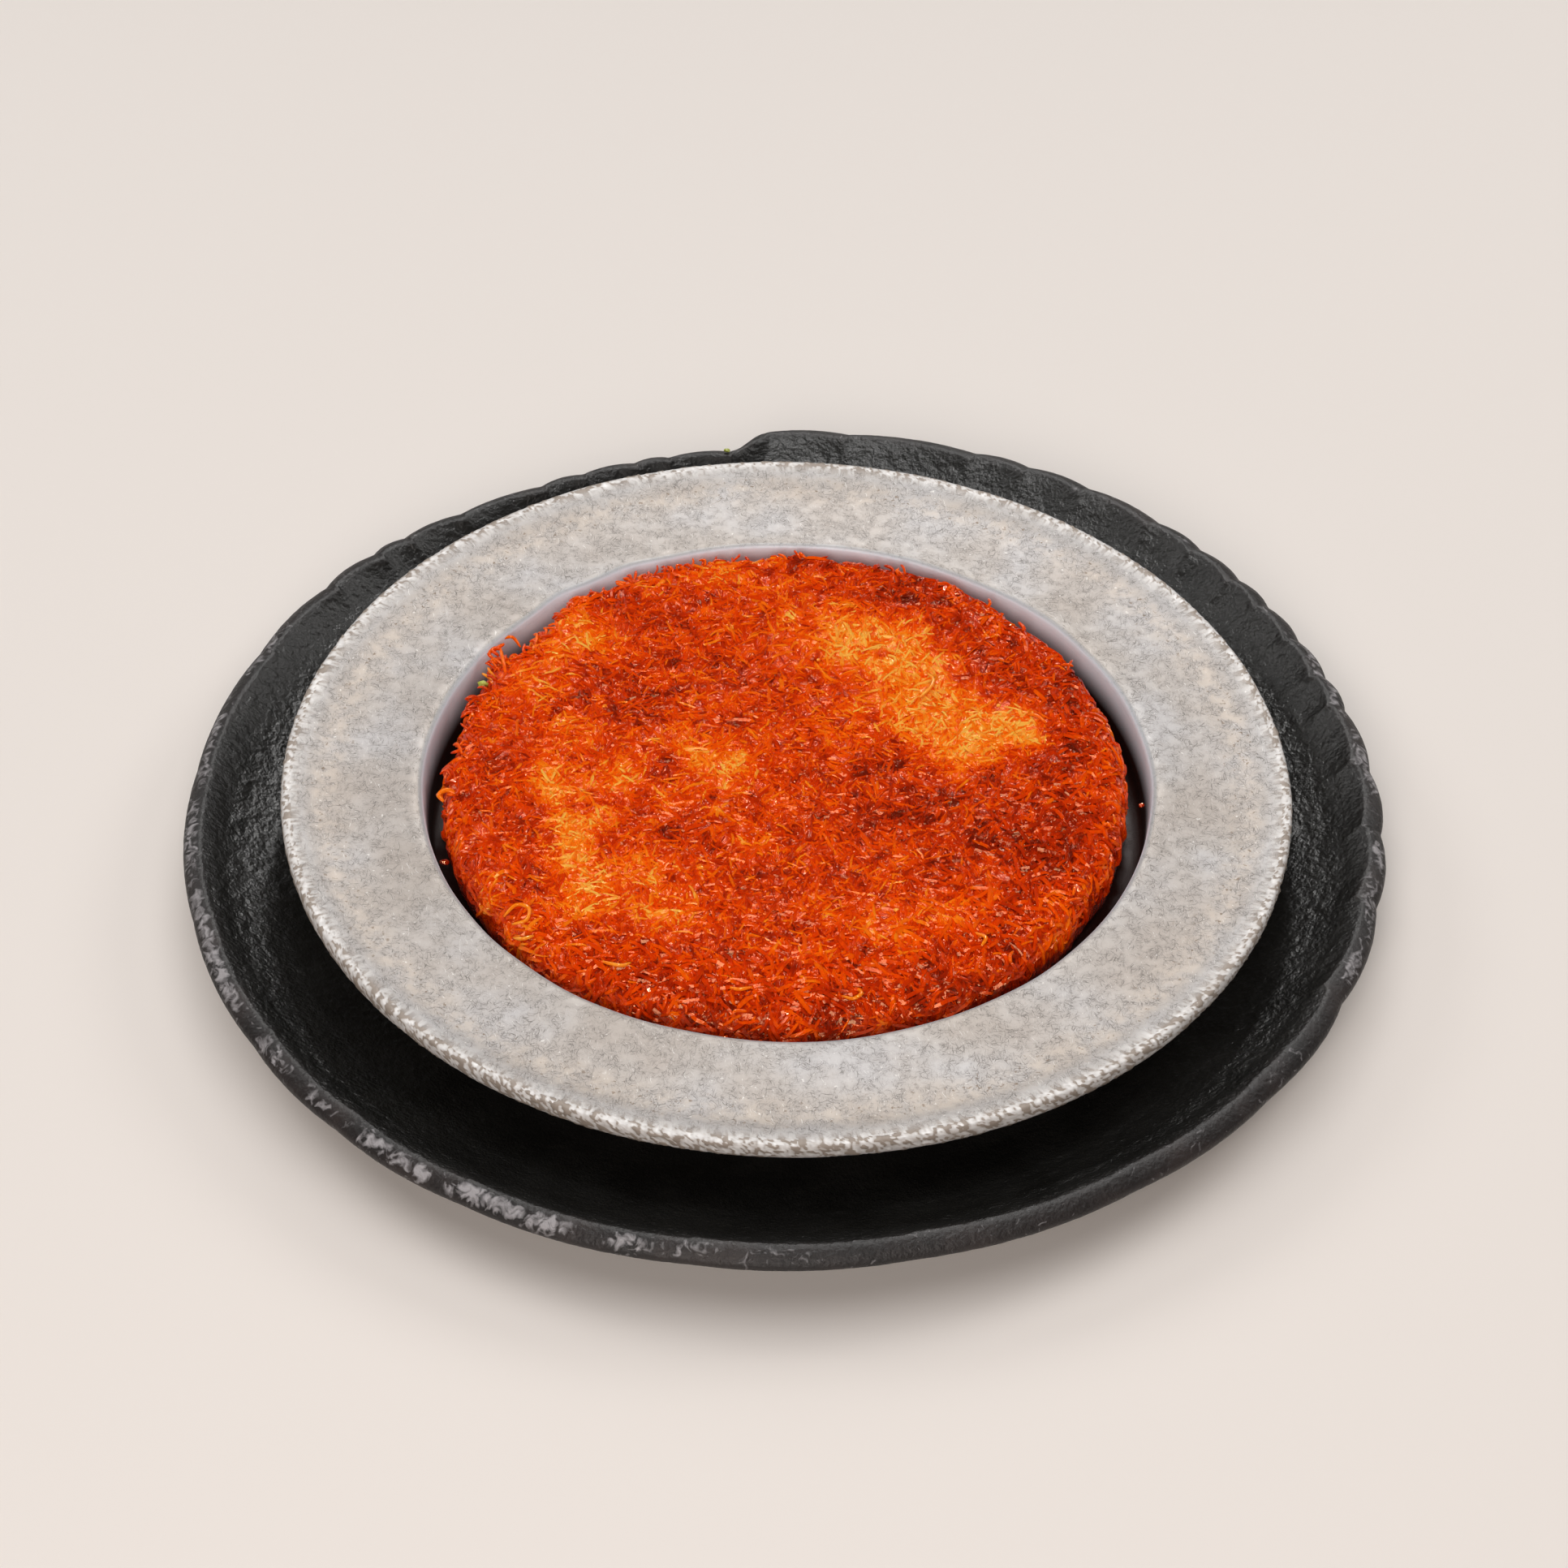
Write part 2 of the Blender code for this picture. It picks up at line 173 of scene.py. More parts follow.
def revolve(name, centre, radius, height, angles, poles, material, numbers):
    """A closed mesh from rows of radius and height, one for each step of its outline.

    Each of the numbers is kept at the points, given for each row or for each point."""
    x = centre[0] + radius * np.cos(angles)[None, :]
    y = centre[1] + radius * np.sin(angles)[None, :]
    body = np.stack((x.ravel(), y.ravel(), height.ravel()), axis=1)
    ends = np.array([(*centre, level) for level in poles])
    coords = np.vstack((ends[:1], body, ends[1:]))
    thing = mesh_object(name, coords, ring_faces(len(radius), len(angles)), material)
    for label, values in numbers.items():
        values = np.broadcast_to(values.reshape(len(radius), -1), radius.shape).ravel()
        point_attribute(thing, label, np.concatenate((values[:1], values, values[-1:])))
    return thing


def ring_faces(rows, segments):
    """Quads between rows of a revolved mesh, whose first and last vertices are its two poles."""
    steps = np.arange(segments)
    ahead = (steps + 1) % segments
    faces = [(0, 1 + a, 1 + s) for s, a in zip(steps.tolist(), ahead.tolist())]
    for row in range(rows - 1):
        base, over = 1 + row * segments, 1 + (row + 1) * segments
        faces += np.stack((base + steps, base + ahead, over + ahead, over + steps), 1).tolist()
    last = 1 + (rows - 1) * segments
    tip = 1 + rows * segments
    faces += [(last + s, last + a, tip) for s, a in zip(steps.tolist(), ahead.tolist())]
    return faces


def finer(profile, spacing):
    """Adds points along a profile so that none are further apart than the spacing."""
    out = [profile[0]]
    for before, after in zip(profile, profile[1:]):
        before, after = np.array(before), np.array(after)
        pieces = max(1, math.ceil(np.linalg.norm((after - before)[:2]) / spacing))
        out += [tuple(before + (after - before) * step / pieces) for step in range(1, pieces + 1)]
    return out


def rounded(profile, rounds):
    """Cuts every corner of a profile again and again, which leaves soft bends."""
    rows = [np.array(row, dtype=float) for row in profile]
    for _ in range(rounds):
        cut = [rows[0]]
        for before, after in zip(rows, rows[1:]):
            cut += [0.75 * before + 0.25 * after, 0.25 * before + 0.75 * after]
        rows = cut + [rows[-1]]
    return rows


# %% Run a Geometry Nodes tree and keep a plain mesh
def new_tree(name, sockets):
    """An empty tree with a Geometry input and output and the named inputs."""
    tree = bpy.data.node_groups.new(name, "GeometryNodeTree")
    face = tree.interface
    face.new_socket("Geometry", in_out="INPUT", socket_type="NodeSocketGeometry")
    face.new_socket("Geometry", in_out="OUTPUT", socket_type="NodeSocketGeometry")
    for socket_name, kind in sockets:
        face.new_socket(socket_name, in_out="INPUT", socket_type="NodeSocket" + kind)
    return tree, tree.nodes.new("NodeGroupInput")


def end_tree(tree, given, geometry):
    """Ends a tree with realized geometry that wears the given material."""
    realized = add(tree, "GeometryNodeRealizeInstances", {0: geometry})
    dressed = add(tree, "GeometryNodeSetMaterial",
                  {"Geometry": realized, "Material": given.outputs["Material"]})
    add(tree, "NodeGroupOutput", {0: dressed})
    return tree


def run_tree(source, tree, values, name):
    """Evaluates the tree on the source object and returns a new plain mesh object."""
    modifier = source.modifiers.new(tree.name, "NODES")
    modifier.node_group = tree
    for item in tree.interface.items_tree:
        if item.item_type == "SOCKET" and item.in_out == "INPUT" and item.name in values:
            modifier[item.identifier] = values[item.name]
    depsgraph = bpy.context.evaluated_depsgraph_get()
    depsgraph.update()
    mesh = bpy.data.meshes.new_from_object(source.evaluated_get(depsgraph), depsgraph=depsgraph)
    source.modifiers.remove(modifier)
    mesh.name = name
    result = bpy.data.objects.new(name, mesh)
    bpy.context.collection.objects.link(result)
    mesh.calc_loop_triangles()
    print(name, "has", len(mesh.loop_triangles), "triangles")
    return result


# %% [markdown]
# The camera stands where the photograph was taken from: about 43 degrees above the table
# and 77 cm from the dish. It was found from the ellipses that the three rims make.

# %% Camera
CAMERA_BACK = 555.6 * MM
CAMERA_UP = 532.8 * MM
CAMERA_TILT = math.radians(90.0 - 42.69)
CAMERA_LENS = 77.3
CAMERA_SENSOR = 36.0

camera_data = bpy.data.cameras.new("camera")
camera_data.lens = CAMERA_LENS
camera_data.sensor_width = CAMERA_SENSOR
camera_data.clip_start = 0.01
camera = bpy.data.objects.new("camera", camera_data)
camera.location = (axis[0], axis[1] - CAMERA_BACK, CAMERA_UP)
camera.rotation_euler = (CAMERA_TILT, 0.0, 0.0)
bpy.context.collection.objects.link(camera)
bpy.context.scene.camera = camera
bpy.context.scene.view_settings.view_transform = "Standard"

# %% [markdown]
# A studio sweep is a pale floor without a seam. A wide soft lamp overhead lights everything,
# and isn't mirrored, since its image would lie on the syrup like haze. One in front lightens
# the shadow under the rim, three more light the sides and the back, and two small ones give
# nothing but glints.

# %% Floor and lights
FLOOR_REACH = 3.0
WORLD_STRENGTH = 0.06


def make_floor():
    paper, tree, shader = new_material("matt_paper_sweep")
    fill(tree, shader, {"Base Color": "#eae3dd", "Roughness": 0.9, "Specular IOR Level": 0.2})
    corners = FLOOR_REACH * np.array([(-1, -1, 0), (1, -1, 0), (1, 1, 0), (-1, 1, 0)])
    mesh_object("floor", corners, [(0, 1, 2, 3)], paper)


def make_light(name, place, size, power, colour):
    data = bpy.data.lights.new(name, "AREA")
    data.shape = "DISK"
    data.size = size
    data.energy = power
    data.color = linear(colour)[:3]
    lamp = bpy.data.objects.new(name, data)
    lamp.location = place
    lamp.rotation_euler = (-Vector(place)).to_track_quat("-Z", "Y").to_euler()
    bpy.context.collection.objects.link(lamp)
    return lamp


def make_world():
    world = bpy.data.worlds.new("studio")
    world.use_nodes = True
    background = world.node_tree.nodes["Background"]
    fill(world.node_tree, background, {"Color": "#fffdfa", "Strength": WORLD_STRENGTH})
    bpy.context.scene.world = world


make_floor()
make_world()
# Each lamp: place and width in metres, power in watts, colour
make_light("overhead", (0.0, 0.05, 1.5), 1.8, 12.9, "#fefeff").visible_glossy = False
make_light("front", (-0.15, -1.15, 0.75), 0.7, 8.9, "#fff6f0")
make_light("right", (0.85, 0.5, 0.75), 0.5, 2.8, "#fffdfb")
make_light("left", (-0.85, 0.5, 0.75), 0.5, 2.6, "#fffdfb")
make_light("far", (0.0, 1.5, 1.1), 0.8, 3.7, "#fffdfb")
for name, place, size, power in (
        ("spark_high", (0.08, 0.2, 1.55), 0.22, 9.0), ("spark_low", (0.1, 1.05, 1.0), 0.24, 5.6)):
    make_light(name, place, size, power, "#fffefc").visible_diffuse = False

# %% [markdown]
# ## The underplate
# It is a pressed stoneware plate with a matt black glaze made to look like split slate.
# Its face has a leathery relief, and its rim is knocked into shallow scallops that end in
# small steps. The outline repeats the rule of the solid model, with sharper scallops, and it
# is revolved by numpy, because each point needs its own radius.

# %% Outline of the chipped rim
PLATE_RADIUS = 134.4 * MM
PLATE_HEIGHT = 18.0 * MM
PLATE_FLOOR = 5.2 * MM
FOOT_RADIUS = 96.0 * MM
BAND_WIDTH = 4.3 * MM
BAND_DROP = 2.4 * MM
SCALLOP_DEPTH = 1.1 * MM
CHIP_ENDS = np.array((
    4, 13, 18, 24, 30, 35, 41, 47, 56, 63, 69, 83, 92, 96, 103, 107, 113, 118,
    128, 135, 139, 146, 158, 176, 197, 214, 227, 241, 262, 281, 302, 318, 332, 345, 355,
), dtype=float)


def chip_share(degrees):
    """How far along its own chip each angle lies, from 0 to 1."""
    ends = np.concatenate((CHIP_ENDS, CHIP_ENDS[:1] + 360.0))
    value = np.where(degrees < ends[0], degrees + 360.0, degrees)
    chip = np.clip(np.searchsorted(ends, value, side="right") - 1, 0, len(ends) - 2)
    return (value - ends[chip]) / (ends[chip + 1] - ends[chip])


def rim_offset(angles):
    """The rim's distance from its mean circle at each angle."""
    degrees = np.degrees(angles) % 360.0
    step_in = smooth_ramp(degrees, 91.5, 95.5)
    back_right = smooth_ramp(degrees, 15.0, 62.0) * (1.0 - step_in)
    back_left = step_in * (1.0 - smooth_ramp(degrees, 118.0, 145.0))
    front = smooth_ramp(degrees, 205.0, 245.0) * (1.0 - smooth_ramp(degrees, 318.0, 352.0))
    worn = smooth_ramp(degrees, 148.0, 165.0) * (1.0 - smooth_ramp(degrees, 318.0, 335.0))
    bulge = np.abs(np.sin(np.pi * chip_share(degrees))) ** 0.8
    chips = SCALLOP_DEPTH * (1.0 - 0.6 * worn) * (bulge - 0.5)
    return 3.6 * MM * back_right - 3.7 * MM * back_left + 0.5 * MM * front + chips, worn


# %% Shape of the underplate
PLATE_SEGMENTS = 1180
# Rubbed places on the rim band, which also carry painted sheen: degrees from +X, half length in degrees,
# strength
RIM_SCUFFS_AND_SHEEN = (
    (224.0, 2.0, 0.45), (231.5, 1.9, 0.9), (235.8, 2.0, 1.0), (242.0, 2.2, 1.0), (245.6, 1.5, 0.8),
    (249.6, 2.2, 0.95), (256.8, 2.3, 0.75), (262.0, 2.5, 0.35), (270.0, 4.0, 0.25), (198.0, 6.0, 0.75),
    (207.0, 4.0, 0.8), (186.0, 6.0, 0.65), (217.0, 3.0, 0.7), (336.0, 2.2, 0.8), (352.0, 2.0, 0.8),
    (344.0, 5.0, 0.5), (4.0, 5.0, 0.7), (18.0, 6.0, 0.65), (172.0, 6.0, 0.65), (158.0, 5.0, 0.6),
)


def make_underplate_blank(glaze):
    crease = PLATE_RADIUS - BAND_WIDTH
    top = PLATE_HEIGHT
    edge = top - BAND_DROP
    # Rows: radius, height, share of the rim's offset, how much of the rim band it is
    outline = (
        (FOOT_RADIUS, PLATE_FLOOR, 0.0, 0.0),
        (106.0 * MM, 6.2 * MM, 0.05, 0.0),
        (115.0 * MM, 9.0 * MM, 0.2, 0.0),
        (crease - 6.5 * MM, top - 5.0 * MM, 0.5, 0.0),
        (crease - 1.2 * MM, top - 0.9 * MM, 0.9, 0.0),
        (crease + 0.3 * MM, top, 0.95, 1.0),
        (crease + 0.55 * BAND_WIDTH, top - 0.35 * BAND_DROP, 1.0, 1.0),
        (PLATE_RADIUS - 0.2 * MM, edge, 1.0, 1.0),
        (PLATE_RADIUS - 0.5 * MM, edge - 1.6 * MM, 1.0, 1.0),
        (crease - 3.0 * MM, edge - 5.0 * MM, 0.6, 0.0),
        (108.0 * MM, 2.4 * MM, 0.1, 0.0),
        (FOOT_RADIUS, 0.0, 0.0, 0.0),
    )
    coarse = rounded(outline, 1)
    rows = [(radius, PLATE_FLOOR, 0.0, 0.0) for radius in (30.0 * MM, 60.0 * MM, 80.0 * MM)]
    for before, after in zip(coarse, coarse[1:]):
        shown = before[0] > 103.0 * MM and after[0] > before[0] or before[0] > PLATE_RADIUS - 1.0 * MM
        rows += finer([tuple(before), tuple(after)], (0.68 if shown else 4.0) * MM)[:-1]
    rows.append(tuple(coarse[-1]))
    rows += [(radius, 0.0, 0.0, 0.0) for radius in (60.0 * MM, 25.0 * MM)]
    rows = np.array(rows)
    angles = np.arange(PLATE_SEGMENTS) * math.tau / PLATE_SEGMENTS
    offset, worn = rim_offset(angles)
    reach = rows[:, 0, None]
    radius = reach + rows[:, 2, None] * offset[None, :]
    # The crease wanders in and out, so the band is narrow at a chip's start and wide at its end
    near_crease = np.exp(-((reach - crease) / (1.6 * MM)) ** 2)
    degrees = np.degrees(angles) % 360.0
    wander = (1.4 * (chip_share(degrees) - 0.5) * (1.0 - 0.7 * worn))[None, :] * MM
    radius = radius + near_crease * wander
    height = np.repeat(rows[:, 1, None], PLATE_SEGMENTS, axis=1)
    # The rubbed places, with their painted sheen, slant across the band
    slanted = degrees[None, :] + 300.0 * (reach - crease - 2.4 * MM)
    scuffed_and_sheen = sum(strength * np.exp(-((slanted - centre) / length) ** 4)
                  for centre, length, strength in RIM_SCUFFS_AND_SHEEN)
    across = np.exp(-((reach - crease - 2.2 * MM) / (1.5 * MM)) ** 4)
    return revolve("underplate_blank", axis, radius, height, angles, (PLATE_FLOOR, 0.0), glaze,
                   {"band": rows[:, 3], "scuff_and_sheen": scuffed_and_sheen * across * rows[:, 3, None]})


# %% [markdown]
# The slate-look relief is pressed into the clay before glazing, so it is real shape. A
# Geometry Nodes tree moves each vertex along its normal by layered noise: soft dimples a few
# millimetres wide, with finer wrinkles on top. The foot and the rim band stay smoother.

# %% Leathery relief
def relief_tree():
    tree, given = new_tree("leathery_relief", (
        ("Dimple Size", "Float"), ("Dimple Depth", "Float"),
        ("Wrinkle Size", "Float"), ("Wrinkle Depth", "Float"), ("Material", "Material")))
    place = add(tree, "GeometryNodeInputPosition")
    height = add(tree, "ShaderNodeSeparateXYZ", {0: place}).outputs[2]
    above_foot = add(tree, "ShaderNodeMapRange", {
        "Value": height, "From Min": 0.3 * MM, "From Max": 3.0 * MM})
    band = add(tree, "GeometryNodeInputNamedAttribute", {0: "band"}, data_type="FLOAT")
    face = add(tree, "ShaderNodeMath", {
        0: 1.0,
        1: add(tree, "ShaderNodeMath", {0: band, 1: 0.75}, operation="MULTIPLY")}, operation="SUBTRACT")
    moved = 0.0
    for size, depth, detail in (("Dimple Size", "Dimple Depth", 1.0), ("Wrinkle Size", "Wrinkle Depth", 2.0)):
        scale = add(tree, "ShaderNodeMath", {0: 1.0, 1: given.outputs[size]}, operation="DIVIDE")
        pattern = add(tree, "ShaderNodeTexNoise",
                      {"Vector": place, "Scale": scale, "Detail": detail, "Distortion": 0.6})
        centred = add(tree, "ShaderNodeMath", {0: pattern, 1: 0.5}, operation="SUBTRACT")
        moved = add(tree, "ShaderNodeMath", {
            0: moved,
            1: add(tree, "ShaderNodeMath", {0: centred, 1: given.outputs[depth]},
                   operation="MULTIPLY")}, operation="ADD")
    moved = add(tree, "ShaderNodeMath", {
        0: moved,
        1: add(tree, "ShaderNodeMath", {0: face, 1: above_foot},
               operation="MULTIPLY")}, operation="MULTIPLY")
    normal = add(tree, "GeometryNodeInputNormal")
    offset = add(tree, "ShaderNodeVectorMath", {0: normal, "Scale": moved}, operation="SCALE")
    shifted = add(tree, "GeometryNodeSetPosition", {"Geometry": given.outputs[0], "Offset": offset})
    return end_tree(tree, given, shifted)


# %% [markdown]
# Matt black stoneware glaze: fired glaze has an IOR near 1.5, the shader's own, and shines
# like satin. The rim band is rubbed by stacking, which leaves it duller and browner, with
# chalky scuffs whose pale colour is partly painted sheen. Fine bumps of 1 mm break up the
# light like leather does.

# %% Glaze
def make_glaze():
    glaze, tree, shader = new_material("matt_slate_glaze_pressed")
    place = add(tree, "ShaderNodeTexCoord").outputs["Object"]
    band = add(tree, "ShaderNodeAttribute", attribute_name="band").outputs["Fac"]
    scuff_and_sheen = add(tree, "ShaderNodeAttribute", attribute_name="scuff_and_sheen").outputs["Fac"]
    cloud = add(tree, "ShaderNodeTexNoise", {"Vector": place, "Scale": 1 / (14 * MM), "Detail": 4.0})
    face = add(tree, "ShaderNodeValToRGB", {0: cloud}, stops=((0.35, "#12110f"), (0.65, "#1c1b19")))
    stain = add(tree, "ShaderNodeTexNoise", {"Vector": place, "Scale": 1 / (11 * MM), "Detail": 5.0})
    rubbed = add(tree, "ShaderNodeValToRGB", {0: stain},
                 stops=((0.38, "#14100f"), (0.55, "#1c1615"), (0.7, "#29211f")))
    grain = add(tree, "ShaderNodeTexNoise", {
        "Vector": place, "Scale": 1 / (2.4 * MM), "Detail": 7.0, "Distortion": 1.2})
    # The pale chalky marks on the band are partly scuffs and partly painted sheen
    chalk_and_sheen = add(tree, "ShaderNodeMath", {
        0: add(tree, "ShaderNodeMath", {
            0: scuff_and_sheen,
            1: add(tree, "ShaderNodeMath", {0: grain, 1: 3.2}, operation="MULTIPLY")}, operation="ADD"),
        1: 2.0}, operation="SUBTRACT")
    chalk_and_sheen = add(tree, "ShaderNodeMath", {
        0: add(tree, "ShaderNodeMath", {0: chalk_and_sheen, 1: 1.3}, operation="MULTIPLY", use_clamp=True),
        1: band}, operation="MULTIPLY")
    colour = add(tree, "ShaderNodeMix", {"Factor": band, "A": face, "B": rubbed}, data_type="RGBA")
    colour = add(tree, "ShaderNodeMix", {
        "Factor": add(tree, "ShaderNodeMath", {0: chalk_and_sheen, 1: 0.85}, operation="MULTIPLY"), "A": colour,
        "B": "#aaa6a8"}, data_type="RGBA")
    rough = add(tree, "ShaderNodeMapRange", {"Value": band, "To Min": 0.3, "To Max": 0.5})
    grit = add(tree, "ShaderNodeTexNoise", {"Vector": place, "Scale": 1 / (1.0 * MM), "Detail": 5.0})
    bump = add(tree, "ShaderNodeBump", {"Height": grit, "Strength": 1.0, "Distance": 0.32 * MM})
    fill(tree, shader, {"Base Color": colour, "Roughness": rough, "Normal": bump})
    return glaze


glaze = make_glaze()
plate_blank = make_underplate_blank(glaze)
underplate = run_tree(plate_blank, relief_tree(), {
    "Dimple Size": 2.6 * MM, "Dimple Depth": 0.5 * MM,
    "Wrinkle Size": 1.3 * MM, "Wrinkle Depth": 0.4 * MM, "Material": glaze}, "slate_underplate")
bpy.data.objects.remove(plate_blank, do_unlink=True)

# %% [markdown]
# ## The dish
# A kunafa dish is spun from aluminium sheet: a flat pan with a steep wall and a wide flange.
# Its outer edge is turned up and hammered, which thickens it into a band of small facets.

# %% Shape of the dish
DISH_RADIUS = 112.3 * MM
SHEET = 2.0 * MM
DISH_BOTTOM = 5.5 * MM
WELL_RADIUS = 81.5 * MM
WELL_EDGE_HEIGHT = 23.8 * MM
WELL_TAPER = 1.1 * MM
WELL_CORNER = 3.4 * MM
TURN_RADIUS = 105.0 * MM
LIP_HEIGHT = 25.7 * MM
LIP_THICKNESS = 3.6 * MM
LEAN = math.radians(1.0)
DISH_SEGMENTS = 1380
# Kinks of the well's edge: degrees from +X, half width in degrees, how far out
EDGE_KINKS = ((131.0, 4.0, 0.9 * MM), (117.0, 4.5, 1.0 * MM), (98.0, 6.0, 0.4 * MM),
              (60.0, 7.0, -0.4 * MM))


def make_dish_blank(aluminium):
    floor = DISH_BOTTOM + SHEET
    floor_radius = WELL_RADIUS - WELL_TAPER - WELL_CORNER
    under = WELL_EDGE_HEIGHT - SHEET
    outside = WELL_RADIUS + SHEET
    # Rows: radius, height, share of the flange's lean, share of the well edge's kinks
    outline = (
        (floor_radius, floor, 0.0, 0.0),
        (WELL_RADIUS - WELL_TAPER, floor + 0.2 * WELL_CORNER, 0.0, 0.0),
        (WELL_RADIUS - WELL_TAPER, floor + 1.2 * WELL_CORNER, 0.05, 0.1),
        (WELL_RADIUS - 0.3 * WELL_TAPER, WELL_EDGE_HEIGHT - 3.0 * MM, 0.4, 0.7),
        (WELL_RADIUS - 0.1 * MM, WELL_EDGE_HEIGHT - 0.4 * MM, 0.45, 1.0),
        (WELL_RADIUS + 1.4 * MM, WELL_EDGE_HEIGHT + 0.1 * MM, 0.5, 1.0),
        (WELL_RADIUS + 4.0 * MM, WELL_EDGE_HEIGHT, 0.55, 0.4),
        (96.0 * MM, WELL_EDGE_HEIGHT - 0.1 * MM, 0.7, 0.0),
        (TURN_RADIUS - 1.0 * MM, WELL_EDGE_HEIGHT + 0.3 * MM, 0.85, 0.0),
        (TURN_RADIUS + 2.0 * MM, LIP_HEIGHT - 0.7 * MM, 0.9, 0.0),
        (DISH_RADIUS - 1.4 * MM, LIP_HEIGHT, 1.0, 0.0),
        (DISH_RADIUS, LIP_HEIGHT - 0.2 * MM, 1.0, 0.0),
        (DISH_RADIUS, LIP_HEIGHT - LIP_THICKNESS + 0.2 * MM, 1.0, 0.0),
        (DISH_RADIUS - 1.2 * MM, LIP_HEIGHT - LIP_THICKNESS, 1.0, 0.0),
        (TURN_RADIUS + 2.5 * MM, LIP_HEIGHT - LIP_THICKNESS + 0.2 * MM, 0.9, 0.0),
        (TURN_RADIUS - 1.0 * MM, under + 0.2 * MM, 0.85, 0.0),
        (96.0 * MM, under - 0.1 * MM, 0.7, 0.0),
        (outside + 1.2 * MM, under, 0.5, 0.0),
        (outside, under - 1.2 * MM, 0.45, 0.0),
        (outside - WELL_TAPER, DISH_BOTTOM + 1.4 * WELL_CORNER, 0.0, 0.0),
        (outside - WELL_TAPER - 0.3 * WELL_CORNER, DISH_BOTTOM + 0.1 * WELL_CORNER, 0.0, 0.0),
        (outside - WELL_TAPER - 1.3 * WELL_CORNER, DISH_BOTTOM, 0.0, 0.0),
    )
    coarse = rounded(outline, 1)
    rows = [(40.0 * MM, floor, 0.0, 0.0)]
    for before, after in zip(coarse, coarse[1:]):
        lip = before[0] > DISH_RADIUS - 3.6 * MM and before[1] > LIP_HEIGHT - LIP_THICKNESS - 0.3 * MM
        rows += finer([tuple(before), tuple(after)], (0.42 if lip else 4.0) * MM)[:-1]
    rows = np.array(rows + [tuple(coarse[-1]), (40.0 * MM, DISH_BOTTOM, 0.0, 0.0)])
    angles = np.arange(DISH_SEGMENTS) * math.tau / DISH_SEGMENTS
    degrees = np.degrees(angles)
    kink = sum(depth * np.exp(-((degrees - centre) / width) ** 2) for centre, width, depth in EDGE_KINKS)
    circle = np.stack((np.cos(angles), np.sin(angles), np.zeros_like(angles)), axis=1)
    kink = kink + 0.35 * MM * noise_at(circle, 0.22, 3.0)
    radius = rows[:, 0, None] + rows[:, 3, None] * kink[None, :]
    height = rows[:, 1, None] - rows[:, 2, None] * math.sin(LEAN) * radius * np.cos(angles)[None, :]
    lip = smooth_ramp(rows[:, 0], DISH_RADIUS - 3.2 * MM, DISH_RADIUS - 1.4 * MM)
    inside = (rows[:, 1] > floor - 0.5 * MM) & (rows[:, 0] < WELL_RADIUS + 0.3 * MM)
    well_depth = np.where(inside, (WELL_EDGE_HEIGHT - rows[:, 1]) / (WELL_EDGE_HEIGHT - floor), 0.0)
    return revolve("dish_blank", dish_axis, radius, height, angles, (floor, DISH_BOTTOM), aluminium,
                   {"lip": lip, "well_depth": well_depth, "reach": rows[:, 0] / DISH_RADIUS})


# %% [markdown]
# The hammered edge is a rule: a hammer leaves nicks, one beside the next, all round the rim.
# The tree lays a cell pattern over the rim, in millimetres along the edge, with its places
# scattered. Each cell becomes a facet tilted its own way with a groove round it, and the
# force of the blows rises and falls along the rim.

